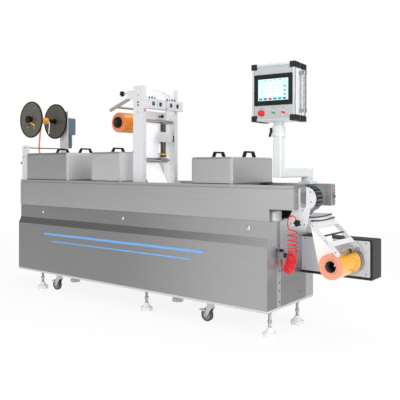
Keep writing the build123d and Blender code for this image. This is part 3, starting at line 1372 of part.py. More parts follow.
# All pieces by name
pieces["cabinet_frame"] = make_cabinet_frame()
pieces["front_cover"] = make_cover(FRONT_RETURN)
pieces["rear_cover"] = mirror_depth(make_cover(REAR_RETURN))
pieces["end_panels"] = make_end_panels()
beam = make_beam()
pieces["side_beams"] = Compound(children=[beam, mirror_depth(beam)])
upper_cover = make_upper_cover()
pieces["upper_covers"] = Compound(children=[upper_cover, mirror_depth(upper_cover)])
pieces["deck_plate"] = make_deck()
pieces["foot_pads"] = Compound(children=[Pos(x, y, 0) * make_foot_pad() for x, y in foot_places()])
pieces["foot_stems"] = Compound(children=[Pos(x, y, 0) * make_foot_stem() for x, y in foot_places()])
corner_names = {0: "left", 1: "right"}
row_names = {0: "front", 1: "rear"}
for i, x in enumerate(CASTER_X):
    for j, y in enumerate(CASTER_Y):
        name = f"{row_names[j]}_{corner_names[i]}"
        pieces[f"caster_fork_{name}"] = Pos(x, y, 0) * make_caster_fork()
        pieces[f"caster_wheel_{name}"] = Pos(x, y, 0) * make_caster_wheel()
heads = []
for name, (left, right, top, handle_places) in GUARDS.items():
    pieces[f"{name}_guard"] = make_guard(left, right, top)
    handles = [make_bridge_handle(x, top) for x in handle_places]
    pieces[f"{name}_guard_handles"] = Compound(children=handles)
    heads.append(make_station_head(left, right, top))
pieces["station_heads"] = Compound(children=heads)
pieces["gantry_frame"] = make_gantry_frame()
pieces["valve_block"] = make_valve_block()
pieces["tube_post"] = make_tube_post()
top_roll_y = (TOP_ROLL_FRONT_Y, TOP_ROLL_REAR_Y)
top_core_y = (TOP_ROLL_FRONT_Y - CORE_PROUD, TOP_ROLL_REAR_Y + CORE_PROUD)
pieces["top_film_roll"] = make_film_roll((TOP_ROLL_X, TOP_ROLL_Z), top_roll_y, top_core_y, TOP_ROLL_RADIUS)
pieces["top_roll_spindle"] = make_top_spindle()
pieces["guide_arm"] = make_guide_arm()
pieces["guide_rollers"] = make_guide_rollers()
pieces["star_knobs"] = make_star_knobs()
pieces["top_film_web"] = make_top_web()
pieces["winder_column"] = make_winder_column()
pieces["gearmotors"] = make_gearmotors()
pieces["winder_discs"] = make_winder_discs()
pieces["winder_spool"] = make_winder_spool()
pieces["end_bracket"] = make_end_bracket()
pieces["chain_band"] = make_chain_band()
pieces["drive_chain"] = make_drive_chain()
pieces["unwinder_arms"] = make_unwinder_arms()
pieces["unwind_drive"] = make_unwind_drive()
bottom_roll_y = (BOTTOM_ROLL_FRONT_Y, BOTTOM_ROLL_REAR_Y)
bottom_core_y = (BOTTOM_ROLL_FRONT_Y - CORE_PROUD, BOTTOM_ROLL_REAR_Y)
bottom_place = (BOTTOM_ROLL_X, BOTTOM_ROLL_Z)
pieces["bottom_film_roll"] = make_film_roll(bottom_place, bottom_roll_y, bottom_core_y, BOTTOM_ROLL_RADIUS)
pieces["bottom_roll_chuck"] = make_bottom_chuck()
pieces["bottom_film_web"] = make_bottom_web()
pieces["console_base"] = make_console_base()
pieces["console_arm"] = make_console_arm()
pieces["clamp_lever"] = make_clamp_lever()
pieces["console_neck"] = make_neck()
pieces["console_housing"] = turn_console(housing_space())
pieces["console_frame"] = make_console_frame()
pieces["console_corners"] = make_console_corners()
pieces["operator_terminal"] = make_terminal()
pieces["push_buttons"] = make_push_buttons()
pieces["air_regulator"] = make_regulator()
pieces["hose_fitting"] = make_hose_fitting()
pieces["hose_coil"] = make_hose_coil()
pieces["hose_top"] = tube_along(HOSE_TOP_ROUTE)
pieces["hose_tail"] = tube_along(HOSE_TAIL_ROUTE)

# The origin stands under the middle of the overall box, on the floor
lows = [shape.bounding_box().min for shape in pieces.values()]
highs = [shape.bounding_box().max for shape in pieces.values()]
middle_x = (min(p.X for p in lows) + max(p.X for p in highs)) / 2
middle_y = (min(p.Y for p in lows) + max(p.Y for p in highs)) / 2
floor_z = min(p.Z for p in lows)
ORIGIN_SHIFT = (-middle_x, -middle_y, -floor_z)

if __name__ == "__main__":
    print("origin shift", ORIGIN_SHIFT)
    for name, shape in pieces.items():
        export_step(Pos(*ORIGIN_SHIFT) * shape, f"parts/{name}.step")
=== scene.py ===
import logging
import math
from collections.abc import Callable, Iterable
from dataclasses import dataclass, replace
from enum import Enum
from itertools import product

import bmesh
import bpy
import numpy as np
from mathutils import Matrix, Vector


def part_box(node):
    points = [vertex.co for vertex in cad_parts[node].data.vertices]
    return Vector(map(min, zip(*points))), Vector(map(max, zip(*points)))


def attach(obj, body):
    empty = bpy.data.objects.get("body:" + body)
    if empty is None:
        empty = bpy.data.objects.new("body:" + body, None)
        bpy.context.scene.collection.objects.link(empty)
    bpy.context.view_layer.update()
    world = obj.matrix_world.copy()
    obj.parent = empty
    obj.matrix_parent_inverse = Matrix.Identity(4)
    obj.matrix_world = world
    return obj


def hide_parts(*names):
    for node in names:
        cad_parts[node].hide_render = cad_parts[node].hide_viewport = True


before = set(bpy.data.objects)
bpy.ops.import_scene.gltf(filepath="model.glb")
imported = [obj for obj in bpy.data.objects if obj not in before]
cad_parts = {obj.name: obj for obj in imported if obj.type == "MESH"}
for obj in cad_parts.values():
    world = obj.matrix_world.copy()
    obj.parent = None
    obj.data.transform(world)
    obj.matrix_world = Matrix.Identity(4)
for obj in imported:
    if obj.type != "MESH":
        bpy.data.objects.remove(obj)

# Thermoforming packaging machine. Sizes are in millimetres from the cabinet's right end (X),
# its front face (Y) and the floor (Z), and row() turns them into the frame's metres.

LOG = logging.getLogger("packaging_machine")
MM = 0.001
CABINET_LOW, CABINET_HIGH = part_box("cabinet_frame")
SHIFT = np.array([CABINET_HIGH.x, CABINET_LOW.y, 0.0]) / MM
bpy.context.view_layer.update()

# Places that more than one piece is set by. An axis along Y is given as (x, z).
WINDER_AXIS = (-2858.0, 1588.0)
TOP_ROLL_AXIS = (-1549.0, 1495.0)
BOTTOM_ROLL_AXIS = (379.0, 490.0)
NOSE_AXIS = (229.0, 920.0)
ROD_AXES = ((-2747.0, 1303.0), (-2767.0, 1213.0))
PRESS_AXIS = (437.0, 576.0)
TIE_ROD_AXIS = (329.5, 681.0)
PLATE_FRONT = 86.0
CORNERS = ("front_left", "front_right", "rear_left", "rear_right")
STATIONS = ("cutting", "sealing", "forming")


class Axis(Enum):
    """A direction of the machine."""

    X = 0
    Y = 1
    Z = 2


X, Y, Z = Axis


def row(points: np.ndarray | tuple) -> np.ndarray:
    """Machine millimetres, as one point or an array of points, in the frame's metres."""
    return (np.asarray(points, float) + SHIFT) * MM


def machine_box(node: str) -> tuple[np.ndarray, np.ndarray]:
    """A CAD node's lowest and highest corners, in machine millimetres."""
    low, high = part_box(node)
    return np.array(low) / MM - SHIFT, np.array(high) / MM - SHIFT


def linear(code: str) -> tuple[float, float, float, float]:
    """An sRGB hex colour as linear values.

    Args:
        code: Six hex digits after a hash sign.

    Returns:
        Red, green, blue and an alpha of 1.
    """
    value = np.array([int(code[i : i + 2], 16) for i in (1, 3, 5)]) / 255
    flat = np.where(value <= 0.04045, value / 12.92, ((value + 0.055) / 1.055) ** 2.4)
    return (*(float(c) for c in flat), 1.0)


# Surfaces


@dataclass
class Shape:
    """Points and faces in machine millimetres, and which of its piece's finishes it has."""

    points: np.ndarray
    faces: list
    finish: int = 0


def join(shapes: list[Shape]) -> tuple[np.ndarray, list, np.ndarray]:
    """Several shapes as one set of points and faces.

    Args:
        shapes: The shapes.

    Returns:
        The points, the faces and each face's finish number.
    """
    offsets = np.cumsum([0] + [len(s.points) for s in shapes[:-1]])
    faces = [tuple(int(i + offset) for i in face) for s, offset in zip(shapes, offsets) for face in s.faces]
    finishes = np.concatenate([np.full(len(s.faces), s.finish) for s in shapes])
    return np.concatenate([s.points for s in shapes]), faces, finishes


def skin(rings: np.ndarray, finish: int = 0, capped: bool = True) -> Shape:
    """A surface of four-sided faces through closed rings of points.

    Args:
        rings: The rings, all of equally many points.
        finish: Which of the piece's finishes it has.
        capped: Whether the first and the last ring are filled.

    Returns:
        The surface.
    """
    count, around = rings.shape[:2]
    i, j = np.meshgrid(np.arange(count - 1), np.arange(around), indexing="ij")
    k = (j + 1) % around
    quads = np.stack([i * around + j, i * around + k, (i + 1) * around + k, (i + 1) * around + j], -1)
    faces = quads.reshape(-1, 4).tolist()
    if capped:
        faces += [list(range(around))[::-1], list(range((count - 1) * around, count * around))]
    return Shape(rings.reshape(-1, 3), faces, finish)


def unit(vectors: np.ndarray) -> np.ndarray:
    """Vectors at length 1, where they have a length at all."""
    return vectors / np.maximum(np.linalg.norm(vectors, axis=-1, keepdims=True), 1e-9)


def frame_of(axis: Axis) -> tuple[np.ndarray, np.ndarray, np.ndarray]:
    """Two cross directions and the direction of an axis, as a right-handed set."""
    return tuple(np.roll(np.eye(3), -1 - axis.value, axis=0))


def turned(profile: list, centre: tuple, axis: Axis = Y, sides: int = 24, finish: int = 0) -> Shape:
    """A turned body, whose surface is centre + along * axis + radius * (cos t * u + sin t * v).

    Args:
        profile: (radius, along) points, with radius 0 at a closed end.
        centre: The point that along is measured from.
        axis: The axis it is turned about.
        sides: How many steps there are in a turn.
        finish: Which of the piece's finishes it has.

    Returns:
        The body.
    """
    u, v, w = frame_of(axis)
    radius, along = np.array(profile, float).T[..., None, None]
    t = np.linspace(0, 2 * np.pi, sides, endpoint=False)[:, None]
    ring = np.cos(t) * u + np.sin(t) * v
    return skin(np.asarray(centre, float) + along * w + radius * ring, finish, capped=False)


def rounded_outline(width: float, height: float, corner: float) -> np.ndarray:
    """A rectangle's outline with four points on each of its quarter-circle corners.

    Args:
        width: Its width.
        height: Its height.
        corner: The corners' radius.

    Returns:
        The (a, b) points, anticlockwise.
    """
    angle = np.linspace(0, np.pi / 2, 4)[None, :] + np.arange(4)[:, None] * np.pi / 2
    signs = np.array([[1, 1], [-1, 1], [-1, -1], [1, -1]])
    middle = signs * [width / 2 - corner, height / 2 - corner]
    return (middle[:, None] + corner * np.stack([np.cos(angle), np.sin(angle)], -1)).reshape(-1, 2)


def soft_block(low: tuple, high: tuple, axis: Axis = Z, corner: float = 3.0, edge: float = 1.0,
               finish: int = 0) -> Shape:
    """A block with rounded corners and eased edges.

    Rings of the outline rise along the axis. Near each end a ring moves in by
    edge * (1 - sin a) while it rises by edge * (1 - cos a), which is a quarter circle.

    Args:
        low: The lowest corner.
        high: The highest corner.
        axis: The direction that the outline is carried along.
        corner: The outline's corner radius.
        edge: The radius of the eased edges.
        finish: Which of the piece's finishes it has.

    Returns:
        The closed block.
    """
    u, v, w = frame_of(axis)
    low, high = np.array(low, float), np.array(high, float)
    across, up, tall = (abs(float((high - low) @ way)) for way in (u, v, w))
    corner = min(corner, across / 2 - 0.01, up / 2 - 0.01)
    edge = min(edge, corner * 0.95, tall / 2 - 0.01)
    a = np.linspace(0, np.pi / 2, 4)
    rise = np.concatenate([edge * (1 - np.cos(a)), tall - edge * (1 - np.cos(a[::-1]))])
    inset = edge * (1 - np.sin(np.concatenate([a, a[::-1]])))
    outline = rounded_outline(across, up, corner)
    rings = outline - inset[:, None, None] * unit(outline)
    foot = (low + high) / 2 - w * tall / 2
    return skin(foot + rings[..., :1] * u + rings[..., 1:] * v + rise[:, None, None] * w, finish)


def blocks(axis: Axis, rows: list) -> list[Shape]:
    """Soft blocks from rows of lowest corner, highest corner, corner radius, edge radius and finish."""
    return [soft_block(low, high, axis, *rest) for low, high, *rest in rows]


def tube(path: np.ndarray | list, radius: float, sides: int, guide: tuple, finish: int = 0) -> Shape:
    """A round bar along a path: at each point a circle stands across the path's direction.

    Args:
        path: The points it follows.
        radius: Its radius.
        sides: Steps round the bar.
        guide: A direction that the path never runs along.
        finish: Which of the piece's finishes it has.

    Returns:
        The closed bar.
    """
    path = np.asarray(path, float)
    way = unit(np.gradient(path, axis=0))
    side = unit(np.cross(way, np.asarray(guide, float)))
    over = np.cross(side, way)
    t = np.linspace(0, 2 * np.pi, sides, endpoint=False)[:, None]
    return skin(path[:, None] + radius * (np.cos(t) * side[:, None] + np.sin(t) * over[:, None]), finish)


def tape(path: np.ndarray, across: tuple, thick: float = 0.8) -> Shape:
    """A flat strip along a path: a thin rectangle stands across the path at each point.

    Args:
        path: The middle line.
        across: The strip's width, as a vector.
        thick: Its thickness.

    Returns:
        The closed strip.
    """
    across = np.asarray(across, float)
    normal = unit(np.cross(np.gradient(path, axis=0), across))
    wide, deep = np.array([[-0.5, 0.5, 0.5, -0.5], [-0.5, -0.5, 0.5, 0.5]])[..., None]
    return skin(path[:, None] + wide * across + deep * thick * normal[:, None])


def around(axis: tuple, radius: float, y: float, angles: Iterable) -> list[tuple]:
    """Points on a circle round an axis along Y.

    Args:
        axis: The axis, as (x, z).
        radius: The circle's radius.
        y: Where it stands along the axis.
        angles: The points' angles from X towards Z, in radians.

    Returns:
        The points.
    """
    return [(axis[0] + radius * math.cos(a), y, axis[1] + radius * math.sin(a)) for a in angles]


def screws(places: list, axis: Axis, way: int, radius: float = 4.0, rise: float = 2.4,
           finish: int = 0) -> list[Shape]:
    """Domed screw heads with sunk sockets at places on a face.

    Args:
        places: Their centres on the face.
        axis: The axis across the face.
        way: 1 where they face up the axis, -1 where they face down it.
        radius: The head's radius.
        rise: The head's height.
        finish: Which of the piece's finishes they have.

    Returns:
        The heads.
    """
    shares = ((0, 0.35), (0.45, 0.35), (0.45, 1), (0.8, 0.9), (1, 0.45), (1, 0))
    profile = [(radius * out, rise * up * way) for out, up in shares]
    return [turned(profile, place, axis, 12, finish) for place in places]


# Finishes


Socket = bpy.types.NodeSocket


@dataclass
class Net:
    """A node tree, with a short call for each kind of node that the finishes are made of.

    A finish's net also has its surface shader, and the place on the object that its patterns read.
    """

    tree: bpy.types.NodeTree
    shader: bpy.types.Node | None = None
    place: Socket | None = None

    def feed(self, node: bpy.types.Node, key: str | int, value: object) -> None:
        """Gives an input a value, or links it to a socket.

        Args:
            node: The node.
            key: The input's name or number.
            value: A value, or the socket that feeds the input.
        """
        if isinstance(value, Socket):
            self.tree.links.new(value, node.inputs[key])
        else:
            node.inputs[key].default_value = value

    def show(self, key: str, value: object) -> None:
        """Gives the surface shader's input a value, or links it to a socket."""
        self.feed(self.shader, key, value)

    def add(self, kind: str, inputs: dict | None = None, **settings) -> bpy.types.Node:
        """Adds one node.

        Args:
            kind: The node's type, without its first word.
            inputs: For each input's name or number, a value or the socket that feeds it.
            settings: The node's own properties.

        Returns:
            The new node.
        """
        node = self.tree.nodes.new(f"ShaderNode{kind}")
        for name, value in settings.items():
            setattr(node, name, value)
        for key, value in (inputs or {}).items():
            self.feed(node, key, value)
        return node

    def math(self, operation: str, *values) -> Socket:
        """A sum on one or two numbers."""
        return self.add("Math", dict(enumerate(values)), operation=operation).outputs[0]

    def vector(self, operation: str, *values) -> Socket:
        """A sum on one or two vectors that gives a vector."""
        return self.add("VectorMath", dict(enumerate(values)), operation=operation).outputs["Vector"]

    def scaled(self, vector: Socket, scale: Socket) -> Socket:
        """A vector or colour times a number."""
        return self.add("VectorMath", {0: vector, "Scale": scale}, operation="SCALE").outputs["Vector"]

    def number(self, operation: str, *values) -> Socket:
        """A sum on one or two vectors that gives a number."""
        return self.add("VectorMath", dict(enumerate(values)), operation=operation).outputs["Value"]

    def noise(self, size: float, detail: float, place: Socket | None = None,
              dimensions: str = "3D") -> Socket:
        """Soft noise.

        Args:
            size: The size of its patches, in millimetres.
            detail: How many finer layers it has.
            place: The place that it is read at or, for 1D, the distance. Left out, it is the net's own.
            dimensions: 3D or 1D.

        Returns:
            The noise's socket, from 0 to 1.
        """
        key = "W" if dimensions == "1D" else "Vector"
        inputs = {key: place or self.place, "Scale": 1 / (size * MM), "Detail": detail}
        return self.add("TexNoise", inputs, noise_dimensions=dimensions).outputs["Fac"]

    def spread(self, value: Socket, source: tuple, target: tuple, smooth: bool = False) -> Socket:
        """A number carried from one range to another.

        Args:
            value: The number.
            source: The range that it is in.
            target: The range that it is carried to.
            smooth: Whether it eases in and out.

        Returns:
            The new number's socket.
        """
        keys = ("Value", "From Min", "From Max", "To Min", "To Max")
        kind = "SMOOTHSTEP" if smooth else "LINEAR"
        inputs = dict(zip(keys, (value, *source, *target)))
        return self.add("MapRange", inputs, interpolation_type=kind).outputs[0]

    def mix(self, factor: object, first: object, second: object, kind: str = "RGBA") -> Socket:
        """A mix of two colours, or of two numbers where the kind is FLOAT."""
        return self.add("Mix", {"Factor": factor, "A": first, "B": second}, data_type=kind).outputs["Result"]

    def bump(self, height: Socket, strength: float, depth: float) -> None:
        """Puts a height into the surface shader as a bump, with its depth in millimetres."""
        bump = self.add("Bump", {"Height": height, "Strength": strength, "Distance": depth * MM})
        self.show("Normal", bump.outputs["Normal"])


@dataclass(frozen=True)
class Finish:
    """A surface finish: its colour, gloss and the pattern that the hand and eye know it by.

    The tone varies by a soft mottle over some centimetres, and the surface has a fine grain.
    The glow is emitted light: on the screen it is the screen's own light, and on the other finishes that have
    it, painted light that brightens a surface which is no lamp.
    """

    name: str
    colour: str
    roughness: float = 0.45
    metallic: float = 0.0
    tone_spread: float = 0.06
    tone_size: float = 120.0
    grain_size: float = 3.0
    grain_depth: float = 0.05
    coat: float = 0.0
    specular: float = 0.5
    glow: float = 0.0

    def material(self) -> bpy.types.Material:
        """The finish's material, made once and then shared.

        Returns:
            The material.
        """
        made = bpy.data.materials.get(self.name)
        if made is None:
            made = bpy.data.materials.new(self.name)
            made.use_nodes = True
            net = Net(made.node_tree, made.node_tree.nodes["Principled BSDF"])
            net.place = net.add("TexCoord").outputs["Object"]
            net.show("Metallic", self.metallic)
            net.show("Roughness", self.roughness)
            net.show("Coat Weight", self.coat)
            net.show("Specular IOR Level", self.specular)
            net.show("Emission Strength", self.glow)
            self.wire(net)
        return made

    def tone(self, net: Net, colour: str | None = None) -> Socket:
        """The colour with its soft mottle.

        Args:
            net: The material's nodes.
            colour: A hex colour, or the finish's own where it is left out.

        Returns:
            The colour's socket.
        """
        base = np.array(linear(colour or self.colour)[:3])
        dark, light = (np.minimum(base * (1 + way * self.tone_spread), 1) for way in (-1, 1))
        return net.mix(net.noise(self.tone_size, 2.0), (*dark, 1), (*light, 1))

    def grain(self, net: Net) -> None:
        """Puts the fine surface grain in as a bump."""
        net.bump(net.noise(self.grain_size, 3.0), 0.5, self.grain_depth)

    def wire(self, net: Net) -> None:
        """Wires the pattern into a material's nodes: a mottled colour, its glow and a fine grain."""
        tone = self.tone(net)
        net.show("Base Color", tone)
        net.show("Emission Color", tone)
        self.grain(net)


@dataclass(frozen=True)
class BrushedSteel(Finish):
    """Brushed metal: long hairlines along the rolling direction, and a slow ramp of painted light and shade
    along one axis.

    The real hairlines are some 0.05 mm apart. They are drawn millimetres apart to show at all.
    """

    metallic: float = 1.0
    line_pitch: float = 4.0
    line_length: float = 260.0
    along: Axis = X
    line_spread: float = 0.05
    # Painted light and shade: the tone is scaled from the first factor to the second along an axis, as the
    # room's light falls.
    painted_light_ramp: tuple = (1.0, 1.0)
    painted_light_axis: Axis = X
    painted_light_range: tuple = (-2700.0, 0.0)

    def wire(self, net: Net) -> None:
        """Wires the hairlines, the mottle and the ramp of painted light and shade along the machine."""
        scale = [1 / (self.line_pitch * MM)] * 3
        scale[self.along.value] = 1 / (self.line_length * MM)
        lines = net.noise(1 / MM, 4.0, net.vector("MULTIPLY", net.place, scale))
        number = self.painted_light_axis.value
        distance = net.add("SeparateXYZ", {0: net.place}).outputs[number]
        ends = [(at + SHIFT[number]) * MM for at in self.painted_light_range]
        quick = net.spread(lines, (0.3, 0.7), (1 - self.line_spread, 1 + self.line_spread))
        # Painted light and shade: the slow ramp that darkens and lightens the steel along its axis.
        painted_ramp = net.spread(distance, ends, self.painted_light_ramp, smooth=True)
        tone = net.scaled(self.tone(net), net.math("MULTIPLY", quick, painted_ramp))
        rough = net.spread(lines, (0, 1), (self.roughness - 0.06, self.roughness + 0.08))
        net.show("Base Color", tone)
        net.show("Roughness", rough)
        net.bump(lines, 0.25, 0.03)


@dataclass(frozen=True)
class WoundFilm(Finish):
    """A wound roll of tinted plastic film: glossy sides, and ends of hundreds of layers.

    The layers are 0.1 mm thick. They are drawn as rings about 3 mm apart.
    """

    end_colour: str = "#f0a080"
    axis: tuple = (0.0, 0.0)
    ring_pitch: float = 3.0

    def wire(self, net: Net) -> None:
        """Wires the sides' colour, and rings round the axis on the two ends."""
        centre = row((self.axis[0], 0.0, self.axis[1]))
        moved = net.add("Mapping", {"Vector": net.place, "Location": tuple(-centre)}).outputs[0]
        away = net.number("LENGTH", net.vector("MULTIPLY", moved, (1, 0, 1)))
        gain = net.spread(net.noise(self.ring_pitch, 2.0, away, "1D"), (0.3, 0.7), (0.86, 1.08))
        ends = net.scaled(self.tone(net, self.end_colour), gain)
        facing = net.add("SeparateXYZ", {0: net.add("TexCoord").outputs["Normal"]}).outputs["Y"]
        is_end = net.math("GREATER_THAN", net.math("ABSOLUTE", facing), 0.9)
        net.show("Base Color", net.mix(is_end, self.tone(net), ends))
        net.show("Roughness", net.spread(is_end, (0, 1), (self.roughness, 0.6)))
        self.grain(net)


@dataclass(frozen=True)
class ClearSheet(Finish):
    """Clear or smoked plastic: it lets part of the light through, with a glossy face and faint haze."""

    opacity: float = 0.5

    def wire(self, net: Net) -> None:
        """Wires the tint, its glow as painted light, long soft wrinkles and how much light it lets through.
        """
        super().wire(net)
        net.show("Alpha", self.opacity)


@dataclass(frozen=True)
class LitPanel(Finish):
    """A lit part of the screen: its own light under a glossy face."""

    roughness: float = 0.3
    grain_depth: float = 0.01
    specular: float = 0.15
    glow: float = 0.4


class Finishes:
    """Every finish of the machine, each named for what it is."""

    # Painted light and shade: the cabinet steel is darker to the left and lighter to the right, the cover
    # steel is lighter towards the right, and the guard steel varies a little.
    cabinet = BrushedSteel("brushed_stainless_cabinet", "#a2a2a2", roughness=0.36, tone_spread=0.03,
                           tone_size=700, painted_light_ramp=(0.77, 1.2), painted_light_range=(-1500, 0))
    covers = BrushedSteel("brushed_stainless_cover", "#adadad", roughness=0.36, tone_spread=0.03,
                          tone_size=600, painted_light_ramp=(1.08, 1.2))
    deck = BrushedSteel("brushed_stainless_deck", "#b9b9ba", roughness=0.4, tone_spread=0.04, tone_size=400)
    # Painted shade and light: the end sheet is darker towards the bottom and lighter towards the top.
    end_sheet = replace(deck, name="brushed_stainless_end", along=Z, painted_light_ramp=(0.55, 1.4),
                        painted_light_axis=Z, painted_light_range=(330, 600))
    beam = BrushedSteel("milled_beam", "#b4b4b6", roughness=0.42, tone_spread=0.03)
    # Painted light: a lighter copy of the guard steel, for the sealing hood.
    guard_painted_light = BrushedSteel("bright_stainless_guard", "#d8d8d8", roughness=0.38, tone_spread=0.03,
                               tone_size=300, line_length=180)
    guard = replace(guard_painted_light, name="brushed_stainless_guard", colour="#b9b9b9", painted_light_ramp=(0.97, 1.05))
    # Painted light: a paler, less metallic copy of the guard steel for faces that turn to the right-hand
    # light.
    guard_side_painted_light = replace(guard_painted_light, name="stainless_side_painted_light", colour="#d4d4d4", metallic=0.35,
                         roughness=0.45, tone_spread=0.04, along=Z)
    # Painted shade: a dimmer, rougher copy of the steel mutes the lamps' highlight on the hoods' rounded
    # edges.
    guard_edge_painted_shade = replace(guard_side_painted_light, name="rounded_stainless_edge_painted_shade", colour="#b2b2b2", metallic=0.5,
                         roughness=0.6)
    stem = BrushedSteel("zinc_plated_stem", "#b8bab9", roughness=0.32, line_pitch=2, line_length=20,
                        along=Z)
    fork = BrushedSteel("zinc_plated_fork", "#c3c6c8", roughness=0.35, line_pitch=3, line_length=30)
    head = BrushedSteel("machined_aluminium_head", "#bfc1c4", roughness=0.4, line_length=60)
    roller = BrushedSteel("polished_steel_roller", "#b3afac", roughness=0.25, line_pitch=3,
                          line_length=40, along=Y)
    tube = BrushedSteel("dark_steel_tube", "#574d47", roughness=0.3, line_pitch=3, line_length=60,
                        along=Z)
    console_face = BrushedSteel("satin_grey_console_sheet", "#adafb1", metallic=0.55, roughness=0.45)
    profile = BrushedSteel("anodised_console_profile", "#a6a8ab", roughness=0.36, along=Z)
    screw = BrushedSteel("zinc_plated_screw", "#8e9092", roughness=0.3, line_pitch=1, line_length=6)
    bright = BrushedSteel("chromed_latch", "#e4e5e6", roughness=0.15, line_pitch=1.5, line_length=12)
    chain = BrushedSteel("oiled_chain_steel", "#a2a3a6", roughness=0.3, line_pitch=2, line_length=10)

    # Painted light: the nylon's glow brightens the pads, also those in shade under the cabinet.
    nylon = Finish("moulded_white_nylon", "#dbdfdd", roughness=0.5, tone_spread=0.02, grain_size=2.5,
                   grain_depth=0.06, glow=0.2)
    rubber = Finish("grey_rubber_tread", "#4b5155", roughness=0.7, grain_size=1.5, grain_depth=0.15)
    hub = Finish("moulded_grey_hub", "#8b9194", roughness=0.5)
    black = Finish("moulded_black_plastic", "#141416", roughness=0.42, tone_spread=0.1, grain_size=1.2,
                   grain_depth=0.08, specular=0.25)
    white_paint = Finish("white_powder_coat", "#dcdde0", roughness=0.42, tone_spread=0.02, grain_size=2)
    # Painted light: a brighter white with a glow, for the rear post's channel, which lies in shade.
    white_paint_painted_glow = replace(white_paint, name="white_powder_coat_painted_glow", colour="#f6f8f8", glow=0.17)
    cream_paint = Finish("cream_powder_coat", "#f2efec", tone_spread=0.03, grain_size=2)
    arm_grey = Finish("grey_anodised_arm", "#a9a7a2", roughness=0.4, metallic=0.3)
    yellow = Finish("moulded_yellow_hub", "#f2a914", roughness=0.4)
    motor = Finish("blue_grey_motor_paint", "#5f7079", grain_size=2)
    band = Finish("moulded_black_chain_band", "#101012", roughness=0.34, tone_spread=0.12, grain_size=2,
                  specular=0.22)
    # Painted highlight: a lighter, part-metal grey on every other rib stands for the light that the ribs
    # catch.
    band_rib_highlight = Finish("chain_band_rib_painted_highlight", "#70747a", roughness=0.35, metallic=0.3, tone_spread=0.1,
                      grain_size=2)
    drive_side = Finish("charcoal_powder_coat", "#2b2c2d", roughness=0.5, grain_size=1.6,
                        grain_depth=0.1, specular=0.3)
    drive_front = Finish("pale_powder_coat", "#ced1d7", roughness=0.4, grain_size=2)
    console_arm = Finish("pale_grey_arm_coat", "#d8dcdc", roughness=0.35, tone_spread=0.02, grain_size=2)
    console_side = Finish("pale_console_sheet", "#e4e6e8", roughness=0.4, grain_size=2)
    bezel = Finish("glossy_black_bezel", "#0e1115", roughness=0.3, grain_size=30, grain_depth=0.01,
                   specular=0.12)
    brass = Finish("turned_brass", "#b98e45", roughness=0.3, metallic=1.0)
    red_hose = Finish("red_polyurethane_hose", "#dc0f1c", roughness=0.25, coat=0.2, tone_spread=0.1,
                      tone_size=25)
    red = Finish("red_button_plastic", "#d8281e", roughness=0.4, specular=0.3)
    green = replace(red, name="green_button_plastic", colour="#1f9c6c")
    blue_knob = Finish("blue_button_plastic", "#2d4fa0", roughness=0.35)
    dark_screw = Finish("black_oxide_screw", "#26272a", roughness=0.4, metallic=0.6)
    blue_band = Finish("light_blue_vinyl", "#6fb0f2", roughness=0.4, tone_spread=0.05, grain_size=8)
    core = Finish("grey_card_core", "#6f665b", roughness=0.7, grain_size=2)
    label_grey = Finish("grey_label_plate", "#8d9194", roughness=0.5)
    label_yellow = replace(label_grey, name="yellow_label_plate", colour="#f0bf1e")
    orange_mark = replace(label_grey, name="orange_marking_sticker", colour="#e8742c")
    pipe = Finish("white_nylon_pipe", "#e6e7ea", roughness=0.3, tone_spread=0.02, grain_size=6)

    orange_roll = WoundFilm("wound_orange_film_top", "#fd9605", roughness=0.25, coat=0.25,
                            end_colour="#ea8a60", axis=TOP_ROLL_AXIS)
    amber_roll = WoundFilm("wound_orange_film_bottom", "#eda904", roughness=0.22, coat=0.35,
                           end_colour="#f2a284", axis=BOTTOM_ROLL_AXIS)
    # Painted light: the film webs' glow brightens them.
    film_web = ClearSheet("clear_film_web", "#f8f7fa", roughness=0.25, opacity=0.78, glow=0.3,
                          tone_spread=0.02, grain_size=40, grain_depth=0.8, specular=0.35)
    trim_web = ClearSheet("orange_trim_film", "#f5952a", roughness=0.25, opacity=0.85, glow=0.1,
                          tone_spread=0.08, grain_size=12, grain_depth=0.5)
    trim_yellow = ClearSheet("yellow_trim_film", "#f4b41c", roughness=0.25, opacity=0.92,
                             tone_spread=0.1, grain_size=12, grain_depth=0.5)
    smoked = ClearSheet("smoked_acrylic_disc", "#67635a", roughness=0.2, opacity=0.94, tone_spread=0.12,
                        tone_size=90, grain_size=6, grain_depth=0.03)
    screen = tuple(LitPanel(f"screen_{name}", colour) for name, colour in (
        ("page", "#b4dbe0"), ("white", "#cbe8eb"), ("grey", "#54707a"), ("line", "#7b98a2"),
        ("green", "#3a9a6a"), ("violet", "#6a5aa8"), ("red", "#c23c44"), ("blue", "#3b6fae")))


# Putting pieces into the scene


def link(name: str, data: bpy.types.ID) -> bpy.types.Object:
    """Puts a mesh, curve, lamp or camera into the scene.

    Args:
        name: The object's name.
        data: The object's data.

    Returns:
        The object.
    """
    obj = bpy.data.objects.new(name, data)
    bpy.context.scene.collection.objects.link(obj)
    return obj


def coat(mesh: bpy.types.Mesh, finishes: Iterable) -> None:
    """Gives a mesh its finishes, in place of any that it has. Its faces all get the first one."""
    mesh.materials.clear()
    for finish in finishes:
        mesh.materials.append(finish.material())


